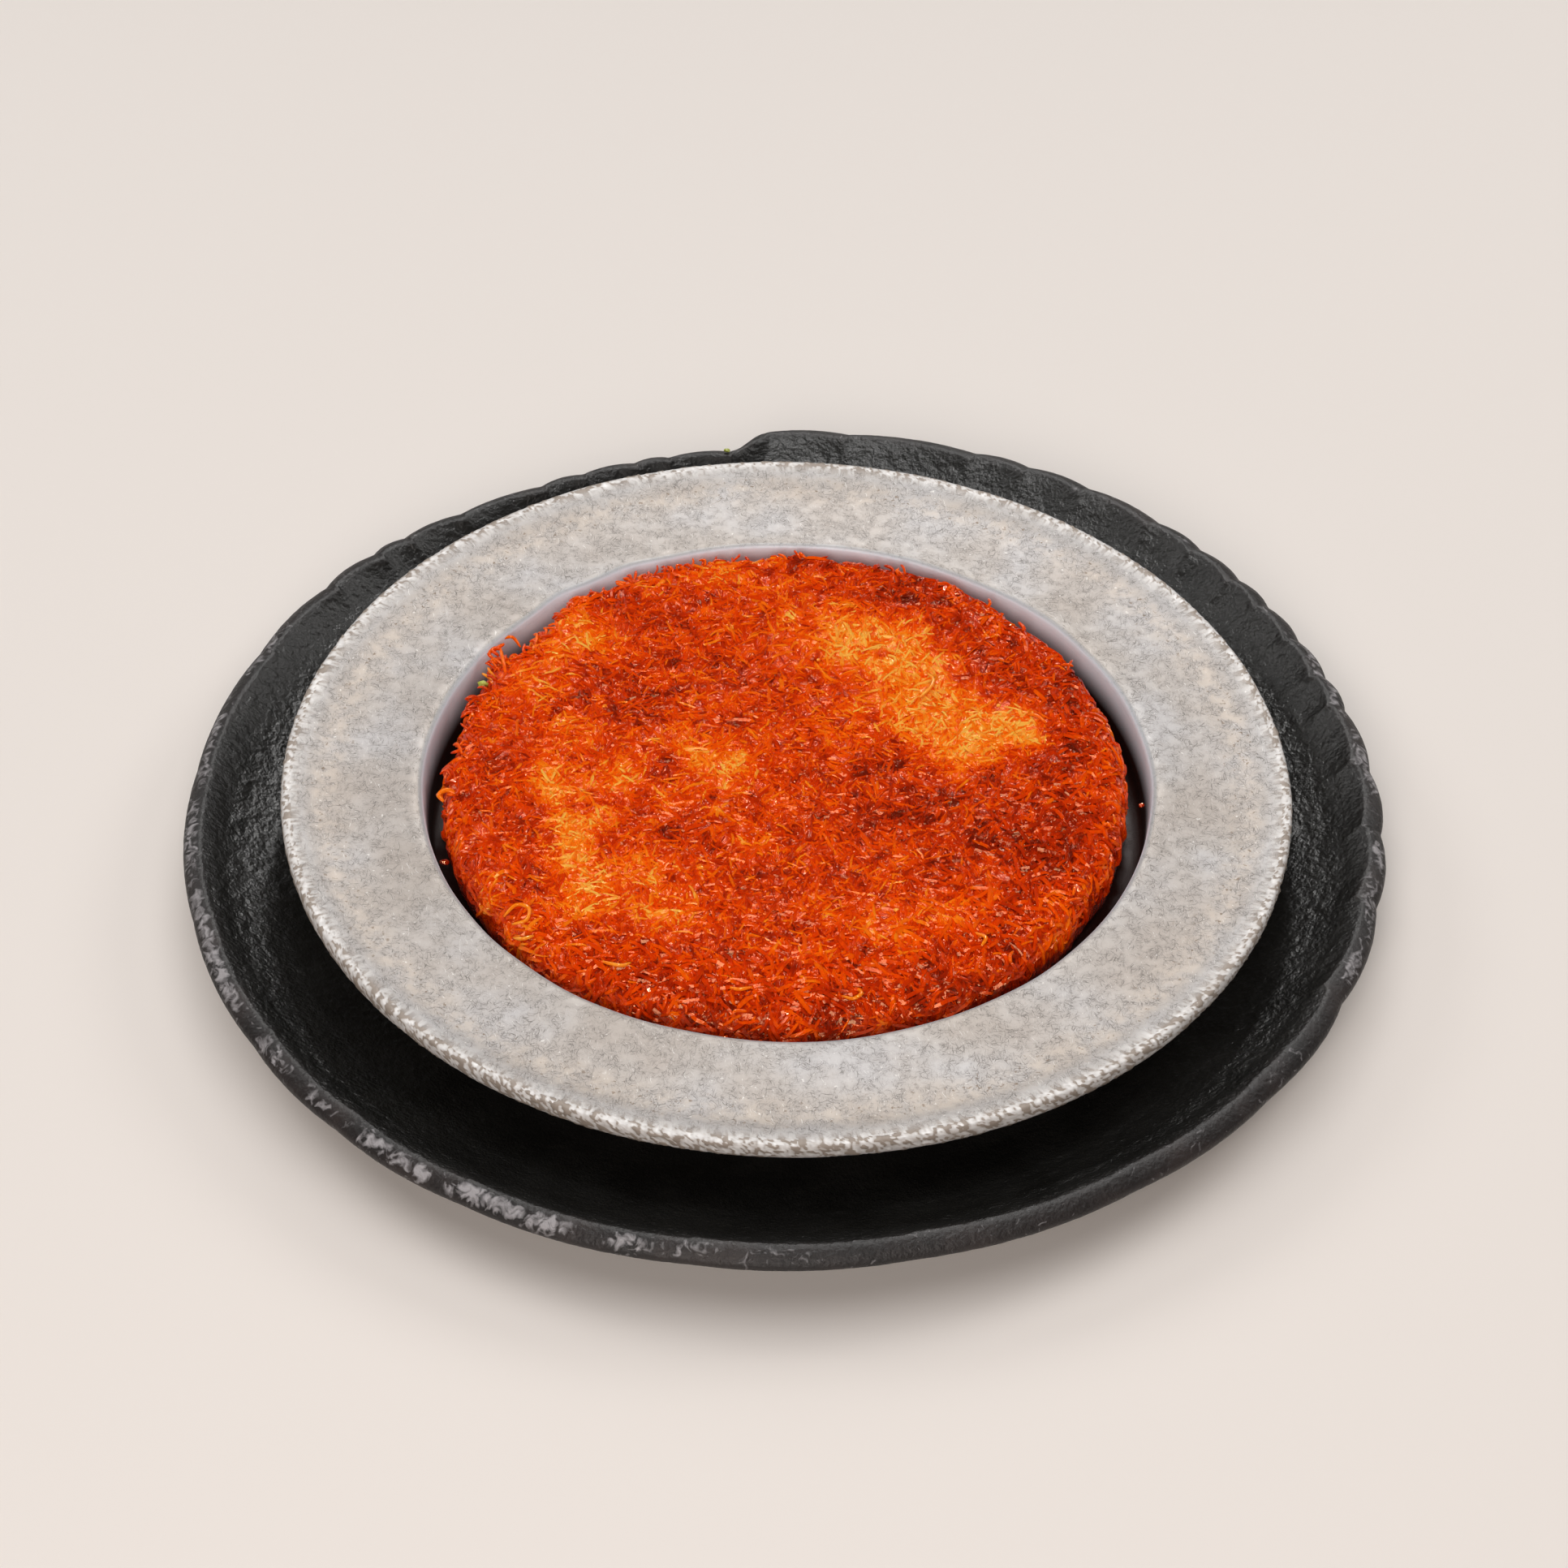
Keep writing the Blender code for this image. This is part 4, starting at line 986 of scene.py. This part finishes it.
# %% Tree that lays the threads
def thread_tree():
    tree, given = new_tree("laid_threads", (
        ("Density", "Float"), ("Length", "Float"), ("Length Spread", "Float"), ("Width", "Float"),
        ("Curl", "Float"), ("Lift Low", "Float"), ("Lift High", "Float"), ("Hug", "Float"),
        ("End Dip", "Float"), ("Tone Spread", "Float"), ("Coarse Only", "Float"), ("Lowest", "Float"),
        ("Seed", "Int"), ("Sides", "Int"), ("Material", "Material")))
    cake = given.outputs[0]
    seed = given.outputs["Seed"]

    def chance(low, high, step):
        """A random number for each thread."""
        return add(tree, "FunctionNodeRandomValue", {
            "Min": low, "Max": high,
            "Seed": add(tree, "ShaderNodeMath", {0: seed, 1: float(step)},
                        operation="ADD")}, data_type="FLOAT")

    place = add(tree, "GeometryNodeInputPosition")
    level = add(tree, "ShaderNodeSeparateXYZ", {0: place}).outputs[2]
    shown = add(tree, "FunctionNodeCompare", {"A": level, "B": given.outputs["Lowest"]},
                data_type="FLOAT", operation="GREATER_THAN")
    plenty = add(tree, "ShaderNodeMapRange", {
        "Value": given.outputs["Coarse Only"], "To Min": 1.0,
        "To Max": add(tree, "GeometryNodeInputNamedAttribute", {0: "coarse"}, data_type="FLOAT")})
    strewn = add(tree, "GeometryNodeDistributePointsOnFaces", {
        "Mesh": cake, "Selection": shown, "Seed": seed,
        "Density": add(tree, "ShaderNodeMath", {0: given.outputs["Density"], 1: plenty},
                       operation="MULTIPLY")})
    drift = add(tree, "ShaderNodeTexNoise", {"Vector": place, "Scale": 1 / (16 * MM), "Detail": 1.0})
    heading = add(tree, "ShaderNodeMath", {
        0: add(tree, "ShaderNodeMath", {0: drift, 1: 14.0}, operation="MULTIPLY"),
        1: chance(-1.3, 1.3, 1)}, operation="ADD")
    spin = add(tree, "FunctionNodeEulerToRotation", {
        0: add(tree, "ShaderNodeCombineXYZ", {2: heading})})
    turned = add(tree, "FunctionNodeRotateRotation",
                 {"Rotation": strewn.outputs["Rotation"], "Rotate By": spin}, rotation_space="LOCAL")
    line = add(tree, "GeometryNodeCurvePrimitiveLine", {"Start": (-0.5, 0.0, 0.0), "End": (0.5, 0.0, 0.0)})
    stepped = add(tree, "GeometryNodeResampleCurve", {"Curve": line, "Count": 6})
    spread = add(tree, "ShaderNodeMath", {0: given.outputs["Length Spread"], 1: chance(-1.0, 1.0, 2)},
                 operation="MULTIPLY")
    stretch = add(tree, "ShaderNodeCombineXYZ", {
        0: add(tree, "ShaderNodeMath", {0: given.outputs["Length"], 1: spread}, operation="ADD"),
        1: 1.0, 2: 1.0})
    laid = add(tree, "GeometryNodeInstanceOnPoints", {
        "Points": strewn.outputs["Points"], "Instance": stepped, "Rotation": turned, "Scale": stretch})
    tone = add(tree, "ShaderNodeMath", {0: given.outputs["Tone Spread"], 1: chance(-1.0, 1.0, 3)},
               operation="MULTIPLY")
    lift = chance(given.outputs["Lift Low"], given.outputs["Lift High"], 4)
    for name, value in (("tone", tone), ("lift", lift), ("girth", chance(0.78, 1.22, 5)),
                        ("twist", chance(0.0, 90.0, 6))):
        laid = add(tree, "GeometryNodeStoreNamedAttribute", {"Geometry": laid, "Name": name, "Value": value},
                   data_type="FLOAT", domain="INSTANCE")
    lines = add(tree, "GeometryNodeRealizeInstances", {0: laid})

    bend = add(tree, "ShaderNodeTexNoise", {
        "Vector": place,
        "W": add(tree, "GeometryNodeInputNamedAttribute", {0: "twist"}, data_type="FLOAT"),
        "Scale": 1 / (7 * MM), "Detail": 0.0}, noise_dimensions="4D")
    centred = add(tree, "ShaderNodeVectorMath", {0: bend.outputs[1], 1: (0.5, 0.5, 0.5)},
                  operation="SUBTRACT")
    push = add(tree, "ShaderNodeVectorMath", {0: centred, "Scale": given.outputs["Curl"]},
               operation="SCALE")
    bent = add(tree, "GeometryNodeSetPosition", {"Geometry": lines, "Offset": push})

    ground, normal, base = (
        add(tree, "GeometryNodeSampleNearestSurface", {"Mesh": cake, "Value": value}, data_type=kind)
        for value, kind in (
            (place, "FLOAT_VECTOR"), (add(tree, "GeometryNodeInputNormal"), "FLOAT_VECTOR"),
            (add(tree, "GeometryNodeInputNamedAttribute", {0: "browning"}, data_type="FLOAT"), "FLOAT")))
    share = add(tree, "GeometryNodeSplineParameter").outputs["Factor"]
    from_middle = add(tree, "ShaderNodeMath", {
        0: add(tree, "ShaderNodeMath", {0: share, 1: 2.0, 2: -1.0},
               operation="MULTIPLY_ADD")}, operation="ABSOLUTE")
    fall = add(tree, "ShaderNodeMath", {0: from_middle, 1: 3.0}, operation="POWER")
    height = add(tree, "ShaderNodeMath", {
        0: add(tree, "GeometryNodeInputNamedAttribute", {0: "lift"}, data_type="FLOAT"),
        1: add(tree, "ShaderNodeMath", {0: fall, 1: given.outputs["End Dip"]},
               operation="MULTIPLY")}, operation="SUBTRACT")
    raised = add(tree, "ShaderNodeVectorMath", {0: normal, "Scale": height}, operation="SCALE")
    seated = add(tree, "ShaderNodeVectorMath", {0: ground, 1: raised}, operation="ADD")
    pressed = add(tree, "ShaderNodeMix", {"Factor": given.outputs["Hug"], "A": place, "B": seated},
                  data_type="VECTOR")
    settled = add(tree, "GeometryNodeSetPosition", {"Geometry": bent, "Position": pressed})

    # A thread that lies deep is drawn darker and one that stands up paler: painted shade in the gaps and
    # painted light on the raised threads
    lift = add(tree, "GeometryNodeInputNamedAttribute", {0: "lift"}, data_type="FLOAT")
    depth = add(tree, "ShaderNodeMath", {
        0: add(tree, "ShaderNodeMath", {0: 0.08 * MM, 1: lift}, operation="SUBTRACT"),
        1: 0.42 / MM}, operation="MULTIPLY")
    depth = add(tree, "ShaderNodeMath", {0: depth, 1: -0.12}, operation="MAXIMUM")
    tone = add(tree, "GeometryNodeInputNamedAttribute", {0: "tone"}, data_type="FLOAT")
    toned = add(tree, "ShaderNodeMath", {
        0: add(tree, "ShaderNodeMath", {0: base, 1: tone}, operation="ADD"),
        1: depth}, operation="ADD")
    settled = add(tree, "GeometryNodeStoreNamedAttribute",
                  {"Geometry": settled, "Name": "browning", "Value": toned},
                  data_type="FLOAT", domain="POINT")
    thinning = add(tree, "ShaderNodeMath", {
        0: 1.0,
        1: add(tree, "ShaderNodeMath", {
            0: add(tree, "ShaderNodeMath", {0: from_middle, 1: 4.0}, operation="POWER"),
            1: 0.45}, operation="MULTIPLY")}, operation="SUBTRACT")
    girth = add(tree, "ShaderNodeMath", {
        0: add(tree, "ShaderNodeMath", {
            0: add(tree, "GeometryNodeInputNamedAttribute", {0: "girth"}, data_type="FLOAT"),
            1: thinning}, operation="MULTIPLY"),
        1: add(tree, "ShaderNodeMath", {0: given.outputs["Width"], 1: 0.5},
               operation="MULTIPLY")}, operation="MULTIPLY")
    section = add(tree, "GeometryNodeCurvePrimitiveCircle",
                  {"Resolution": given.outputs["Sides"], "Radius": 1.0})
    solid = add(tree, "GeometryNodeCurveToMesh", {
        "Curve": settled, "Profile Curve": section, "Scale": girth, "Fill Caps": True})
    facets = add(tree, "GeometryNodeSetShadeSmooth", {"Geometry": solid, "Shade Smooth": False})
    return end_tree(tree, given, facets)


# %% Cake and threads
crust = make_pastry("baked_kadayif_crust", True)
thread_pastry = make_pastry("syrup_soaked_kadayif", False)
cake = make_cake(crust)
threads = thread_tree()

THREAD_SIDES = 4
# Threads are laid only on the top of the cake and the upper part of its side
THREAD_LOWEST = CAKE_TOP - 7.0 * MM
THREAD_DENSITY = 208000.0
# Density is for a square metre. Hug, tone and coarse are shares, and the rest is millimetres
THREAD_KINDS = {
    "threads_sunk": dict(density=THREAD_DENSITY, length=6.5, spread=3.0, width=1.0, curl=5.0,
                         lift=(-0.35, 0.08), hug=1.0, dip=0.3, tone=0.16, coarse=0.0, seed=3),
    "threads_upper": dict(density=THREAD_DENSITY, length=5.5, spread=3.0, width=0.86, curl=4.5,
                          lift=(-0.22, 0.28), hug=0.98, dip=0.45, tone=0.2, coarse=0.0, seed=17),
    "threads_fine": dict(density=THREAD_DENSITY, length=4.5, spread=2.5, width=0.66, curl=5.0,
                         lift=(-0.1, 0.38), hug=0.97, dip=0.5, tone=0.24, coarse=0.0, seed=29),
    "threads_finest": dict(density=THREAD_DENSITY, length=3.6, spread=1.8, width=0.5, curl=4.5,
                           lift=(0.0, 0.5), hug=0.96, dip=0.5, tone=0.26, coarse=0.0, seed=53),
    "threads_coarse": dict(density=250000.0, length=4.6, spread=2.2, width=1.0, curl=5.5,
                           lift=(0.05, 0.85), hug=0.92, dip=0.5, tone=0.15, coarse=1.0, seed=41),
}
made_threads = []
for name, kind in THREAD_KINDS.items():
    made_threads.append(run_tree(cake, threads, {
        "Density": kind["density"], "Length": kind["length"] * MM,
        "Length Spread": kind["spread"] * MM, "Width": kind["width"] * MM, "Curl": kind["curl"] * MM,
        "Lift Low": kind["lift"][0] * MM, "Lift High": kind["lift"][1] * MM, "Hug": kind["hug"],
        "End Dip": kind["dip"] * MM, "Tone Spread": kind["tone"], "Coarse Only": kind["coarse"],
        "Lowest": THREAD_LOWEST, "Seed": kind["seed"], "Sides": THREAD_SIDES,
        "Material": thread_pastry}, name))

# %% [markdown]
# A few shreds stand apart from the mat: a tuft that touches the dish's wall, single golden
# curls on the crust and a fringe along the edge. Each is a list of points in millimetres,
# joined by a smooth curve and swept with a five-sided section that thins at its ends.

# %% Shreds laid one by one
STRAND_SIDES = 5
STEPS_PER_SPAN = 4


def smooth_path(points):
    """Catmull-Rom curve through the points, which are in millimetres about the round axis."""
    points = np.array(points, dtype=float)
    ends = np.vstack((2 * points[0] - points[1], points, 2 * points[-1] - points[-2]))
    share = np.linspace(0.0, 1.0, STEPS_PER_SPAN, endpoint=False)[:, None]
    spans = []
    for before, start, stop, after in zip(ends, ends[1:], ends[2:], ends[3:]):
        spans.append(0.5 * (2 * start + (stop - before) * share
                            + (2 * before - 5 * start + 4 * stop - after) * share ** 2
                            + (3 * start - before - 3 * stop + after) * share ** 3))
    return np.vstack(spans + [points[-1:]])


def make_strands(name, strands, material):
    """One mesh from (points, width, browning) entries."""
    coords, faces, tones = [], [], []
    for points, width, tone in strands:
        path = smooth_path(points)
        ahead = np.gradient(path, axis=0)
        ahead /= np.linalg.norm(ahead, axis=1)[:, None]
        side = np.cross(ahead, (0.13, 0.21, 0.97))
        side /= np.maximum(np.linalg.norm(side, axis=1), 1e-6)[:, None]
        rise = np.cross(side, ahead)
        middle = np.abs(np.linspace(-1.0, 1.0, len(path)))
        girth = (0.5 * width * (1.0 - 0.5 * middle ** 4))[:, None]
        first = sum(len(block) for block in coords)
        turns = np.arange(STRAND_SIDES) * math.tau / STRAND_SIDES
        rings = [path + girth * (math.cos(turn) * side + math.sin(turn) * rise) for turn in turns]
        block = np.stack(rings, axis=1).reshape(-1, 3)
        coords.append(block)
        tones += [tone] * len(block)
        for step in range(len(path) - 1):
            for corner in range(STRAND_SIDES):
                here = first + step * STRAND_SIDES
                after = (corner + 1) % STRAND_SIDES
                there = here + STRAND_SIDES
                faces.append((here + corner, here + after, there + after, there + corner))
        last = first + (len(path) - 1) * STRAND_SIDES
        faces.append(tuple(first + corner for corner in reversed(range(STRAND_SIDES))))
        faces.append(tuple(last + corner for corner in range(STRAND_SIDES)))
    coords = np.vstack(coords) * MM
    coords[:, :2] += axis
    thing = mesh_object(name, coords, faces, material)
    point_attribute(thing, "browning", np.array(tones))
    return thing


# Points in millimetres to the right, away from the eater and up; then width and browning
SINGLE_STRANDS = [
    (((-64.4, 34.6, 22.6), (-64.9, 36.8, 23.9), (-65.5, 39.2, 24.8), (-65.9, 41.2, 25.2)), 1.0, 0.36),
    (((-65.9, 41.0, 25.0), (-67.3, 40.8, 25.5), (-68.5, 39.4, 25.0), (-67.4, 38.2, 24.5)), 1.0, 0.5),
    (((-65.0, 42.0, 25.9), (-66.6, 41.4, 25.2), (-68.3, 40.3, 24.6)), 0.9, 0.42),
    (((-66.2, 39.4, 24.4), (-67.6, 39.9, 25.3), (-68.9, 40.6, 25.0)), 0.85, 0.55),
    (((-65.2, 37.4, 23.4), (-66.9, 38.2, 24.4), (-68.0, 37.6, 24.6)), 0.8, 0.4),
    (((-66.5, 33.6, 22.5), (-67.9, 34.5, 23.6), (-68.6, 35.9, 23.9)), 0.75, 0.2),
    (((-66.9, 32.6, 22.5), (-68.6, 33.4, 23.3), (-69.9, 34.6, 23.2)), 0.7, 0.15),
    (((-61.5, 44.0, 23.2), (-63.4, 46.2, 24.3), (-65.6, 45.8, 24.4)), 0.8, 0.35),
    (((33, 33.5, 24.3), (34.4, 30.5, 24.9), (33.4, 27.3, 24.9), (31, 25, 24.2)), 0.85, 0.12),
    (((-60, -45.5, 23.6), (-57.4, -43, 24.7), (-54.6, -44.2, 24.9), (-55, -47.2, 24.3),
      (-58, -48, 23.8)), 0.95, 0.2),
    (((-38.5, -58.6, 23.4), (-36.4, -60.2, 24.3), (-34, -60.6, 24.2), (-32.4, -59.2, 23.6)), 0.95, 0.15),
    (((-57.6, -51.4, 23.2), (-55.4, -52.6, 24.1), (-53.2, -51.6, 24.0)), 0.9, 0.12),
    (((-72.6, -6.4, 22.8), (-75.0, -5.6, 23.6), (-76.8, -7.0, 23.5), (-75.6, -8.8, 23.1)), 1.2, 0.28),
    (((55.5, 19.4, 24.0), (57.6, 18.4, 24.5), (59.6, 16.2, 24.2)), 0.9, 0.3),
    (((12, -68.4, 23.2), (14.4, -70.2, 24.2), (16.2, -68.8, 24.4), (15.2, -66.8, 23.8)), 0.9, 0.22),
    (((40.4, -50.4, 23.8), (42.8, -52.6, 24.5), (41.8, -55, 24.4)), 0.95, 0.2),
    (((-12, -66, 23.4), (-9.4, -67.6, 24.3), (-6.6, -66.6, 23.9)), 0.9, 0.25),
]
FRINGE_STRANDS = 170
draw = random.Random(20)
for number in range(FRINGE_STRANDS):
    # Most of the fringe is at the back left, where the edge is driest
    turn = math.radians(draw.gauss(128.0, 30.0) if number % 4 else draw.uniform(0.0, 360.0))
    swell = float(edge_offset(np.array([turn]))[0]) / MM
    out = np.array((math.cos(turn), math.sin(turn)))
    across = np.array((-math.sin(turn), math.cos(turn)))
    start = (73.6 + swell + draw.uniform(-1.0, 0.6)) * out
    lean, slide = draw.uniform(1.0, 3.2), draw.uniform(-3.4, 3.4)
    bend = draw.uniform(-1.2, 1.2)
    base = 22.9 + 1.1 * max(0.0, math.sin(turn)) + draw.uniform(-0.5, 0.3)
    peak = draw.uniform(0.2, 1.1)
    points = [(*start, base), (*(start + 0.5 * lean * out + (0.5 * slide + bend) * across), base + peak),
              (*(start + lean * out + slide * across), base + draw.uniform(-0.8, 0.8))]
    SINGLE_STRANDS.append((points, draw.uniform(0.55, 0.95), draw.uniform(0.36, 0.7)))
stray_strands = make_strands("stray_strands", SINGLE_STRANDS, thread_pastry)
print("stray strands:", len(SINGLE_STRANDS))

# %% [markdown]
# Last come the smallest things: a crumb on the dish's right wall, a brown one in the gap at
# the left, a few golden ones on the crust, and two flecks of pistachio, at the cake's left
# edge and on the underplate's rim. A few random pushes on a small sphere's vertices give
# each its broken, angular look.

# %% Crumbs and the nut fleck
def make_crumbs(name, crumbs, material):
    """One mesh from (x, y, z, size, browning) entries, in millimetres about the round axis."""
    coords, faces, tones = [], [], []
    for number, (x, y, z, size, tone) in enumerate(crumbs):
        lump = bmesh.new()
        bmesh.ops.create_icosphere(lump, subdivisions=2, radius=0.5 * size)
        points = np.array([vertex.co[:] for vertex in lump.verts])
        points *= 1.0 + 0.55 * noise_at(points, 0.45 * size, 7.0 + 3.0 * number)[:, None]
        points *= (1.0, 0.8, 0.62)
        first = sum(len(block) for block in coords)
        faces += [tuple(first + vertex.index for vertex in face.verts) for face in lump.faces]
        lump.free()
        coords.append(points + (x, y, z))
        tones += [tone] * len(points)
    coords = np.vstack(coords) * MM
    coords[:, :2] += axis
    thing = mesh_object(name, coords, faces, material)
    thing.data.polygons.foreach_set("use_smooth", [False] * len(thing.data.polygons))
    point_attribute(thing, "browning", np.array(tones))
    return thing


CRUMBS = (
    (80.3, -3.0, 16.6, 1.3, 0.75), (-74.3, -25.6, 20.6, 2.0, 0.95),
    (30.0, 14.0, 24.4, 1.2, 0.1), (-18.0, -31.0, 24.2, 1.1, 0.15), (8.0, 38.0, 24.4, 1.0, 0.1),
    (-41.0, 22.0, 24.3, 1.1, 0.2), (24.0, -44.0, 24.2, 1.2, 0.12), (49.0, 22.0, 24.4, 1.1, 0.08))
crumbs = make_crumbs("pastry_crumbs", CRUMBS, thread_pastry)

nut, nut_tree, nut_shader = new_material("chopped_pistachio")
nut_place = add(nut_tree, "ShaderNodeTexCoord").outputs["Object"]
nut_cloud = add(nut_tree, "ShaderNodeTexNoise",
                {"Vector": nut_place, "Scale": 1 / (0.5 * MM), "Detail": 3.0})
nut_green = add(nut_tree, "ShaderNodeValToRGB", {0: nut_cloud},
                stops=((0.35, "#8f9a2c"), (0.65, "#c6cc5c")))
nut_bump = add(nut_tree, "ShaderNodeBump", {"Height": nut_cloud, "Strength": 0.6, "Distance": 0.1 * MM})
fill(nut_tree, nut_shader, {"Base Color": nut_green, "Roughness": 0.35, "Normal": nut_bump})
nut_fleck = make_crumbs("nut_fleck", ((-69.5, 31.2, 22.9, 2.4, 0.0), (-14.4, 126.4, 18.3, 1.5, 0.0)), nut)

# %% [markdown]
# Everything now rides on the one body, and the three solids step back behind the pieces
# that stand for them. No thread may pass through the wall or the floor of the dish, so
# every vertex that does is drawn in until it is clear.

# %% Keep the threads in the well
WELL_REACH = WELL_RADIUS - WELL_TAPER - 0.3 * MM


def keep_in_well(thing):
    coords = coordinates(thing)
    flat = coords[:, :2] - dish_axis
    reach = np.hypot(flat[:, 0], flat[:, 1])
    shrink = np.minimum(1.0, WELL_REACH / np.maximum(reach, 1e-9))
    coords[:, :2] = dish_axis + flat * shrink[:, None]
    coords[:, 2] = np.maximum(coords[:, 2], CAKE_BOTTOM)
    set_coordinates(thing, coords)


def keep_in_box(thing):
    coords = coordinates(thing)
    set_coordinates(thing, np.clip(coords, cad_low, cad_high))


for piece in (cake, *made_threads, stray_strands):
    keep_in_well(piece)
for piece in (underplate, dish):
    keep_in_box(piece)

# %% Hand the pieces over
for piece, slot in ((underplate, "stone_glaze"), (dish, "worn_aluminium"), (cake, "baked_pastry")):
    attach(piece, "root")
for piece in (*made_threads, stray_strands, crumbs, nut_fleck):
    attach(piece, "root")
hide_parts("underplate")
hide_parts("metal_dish")
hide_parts("kunafa")
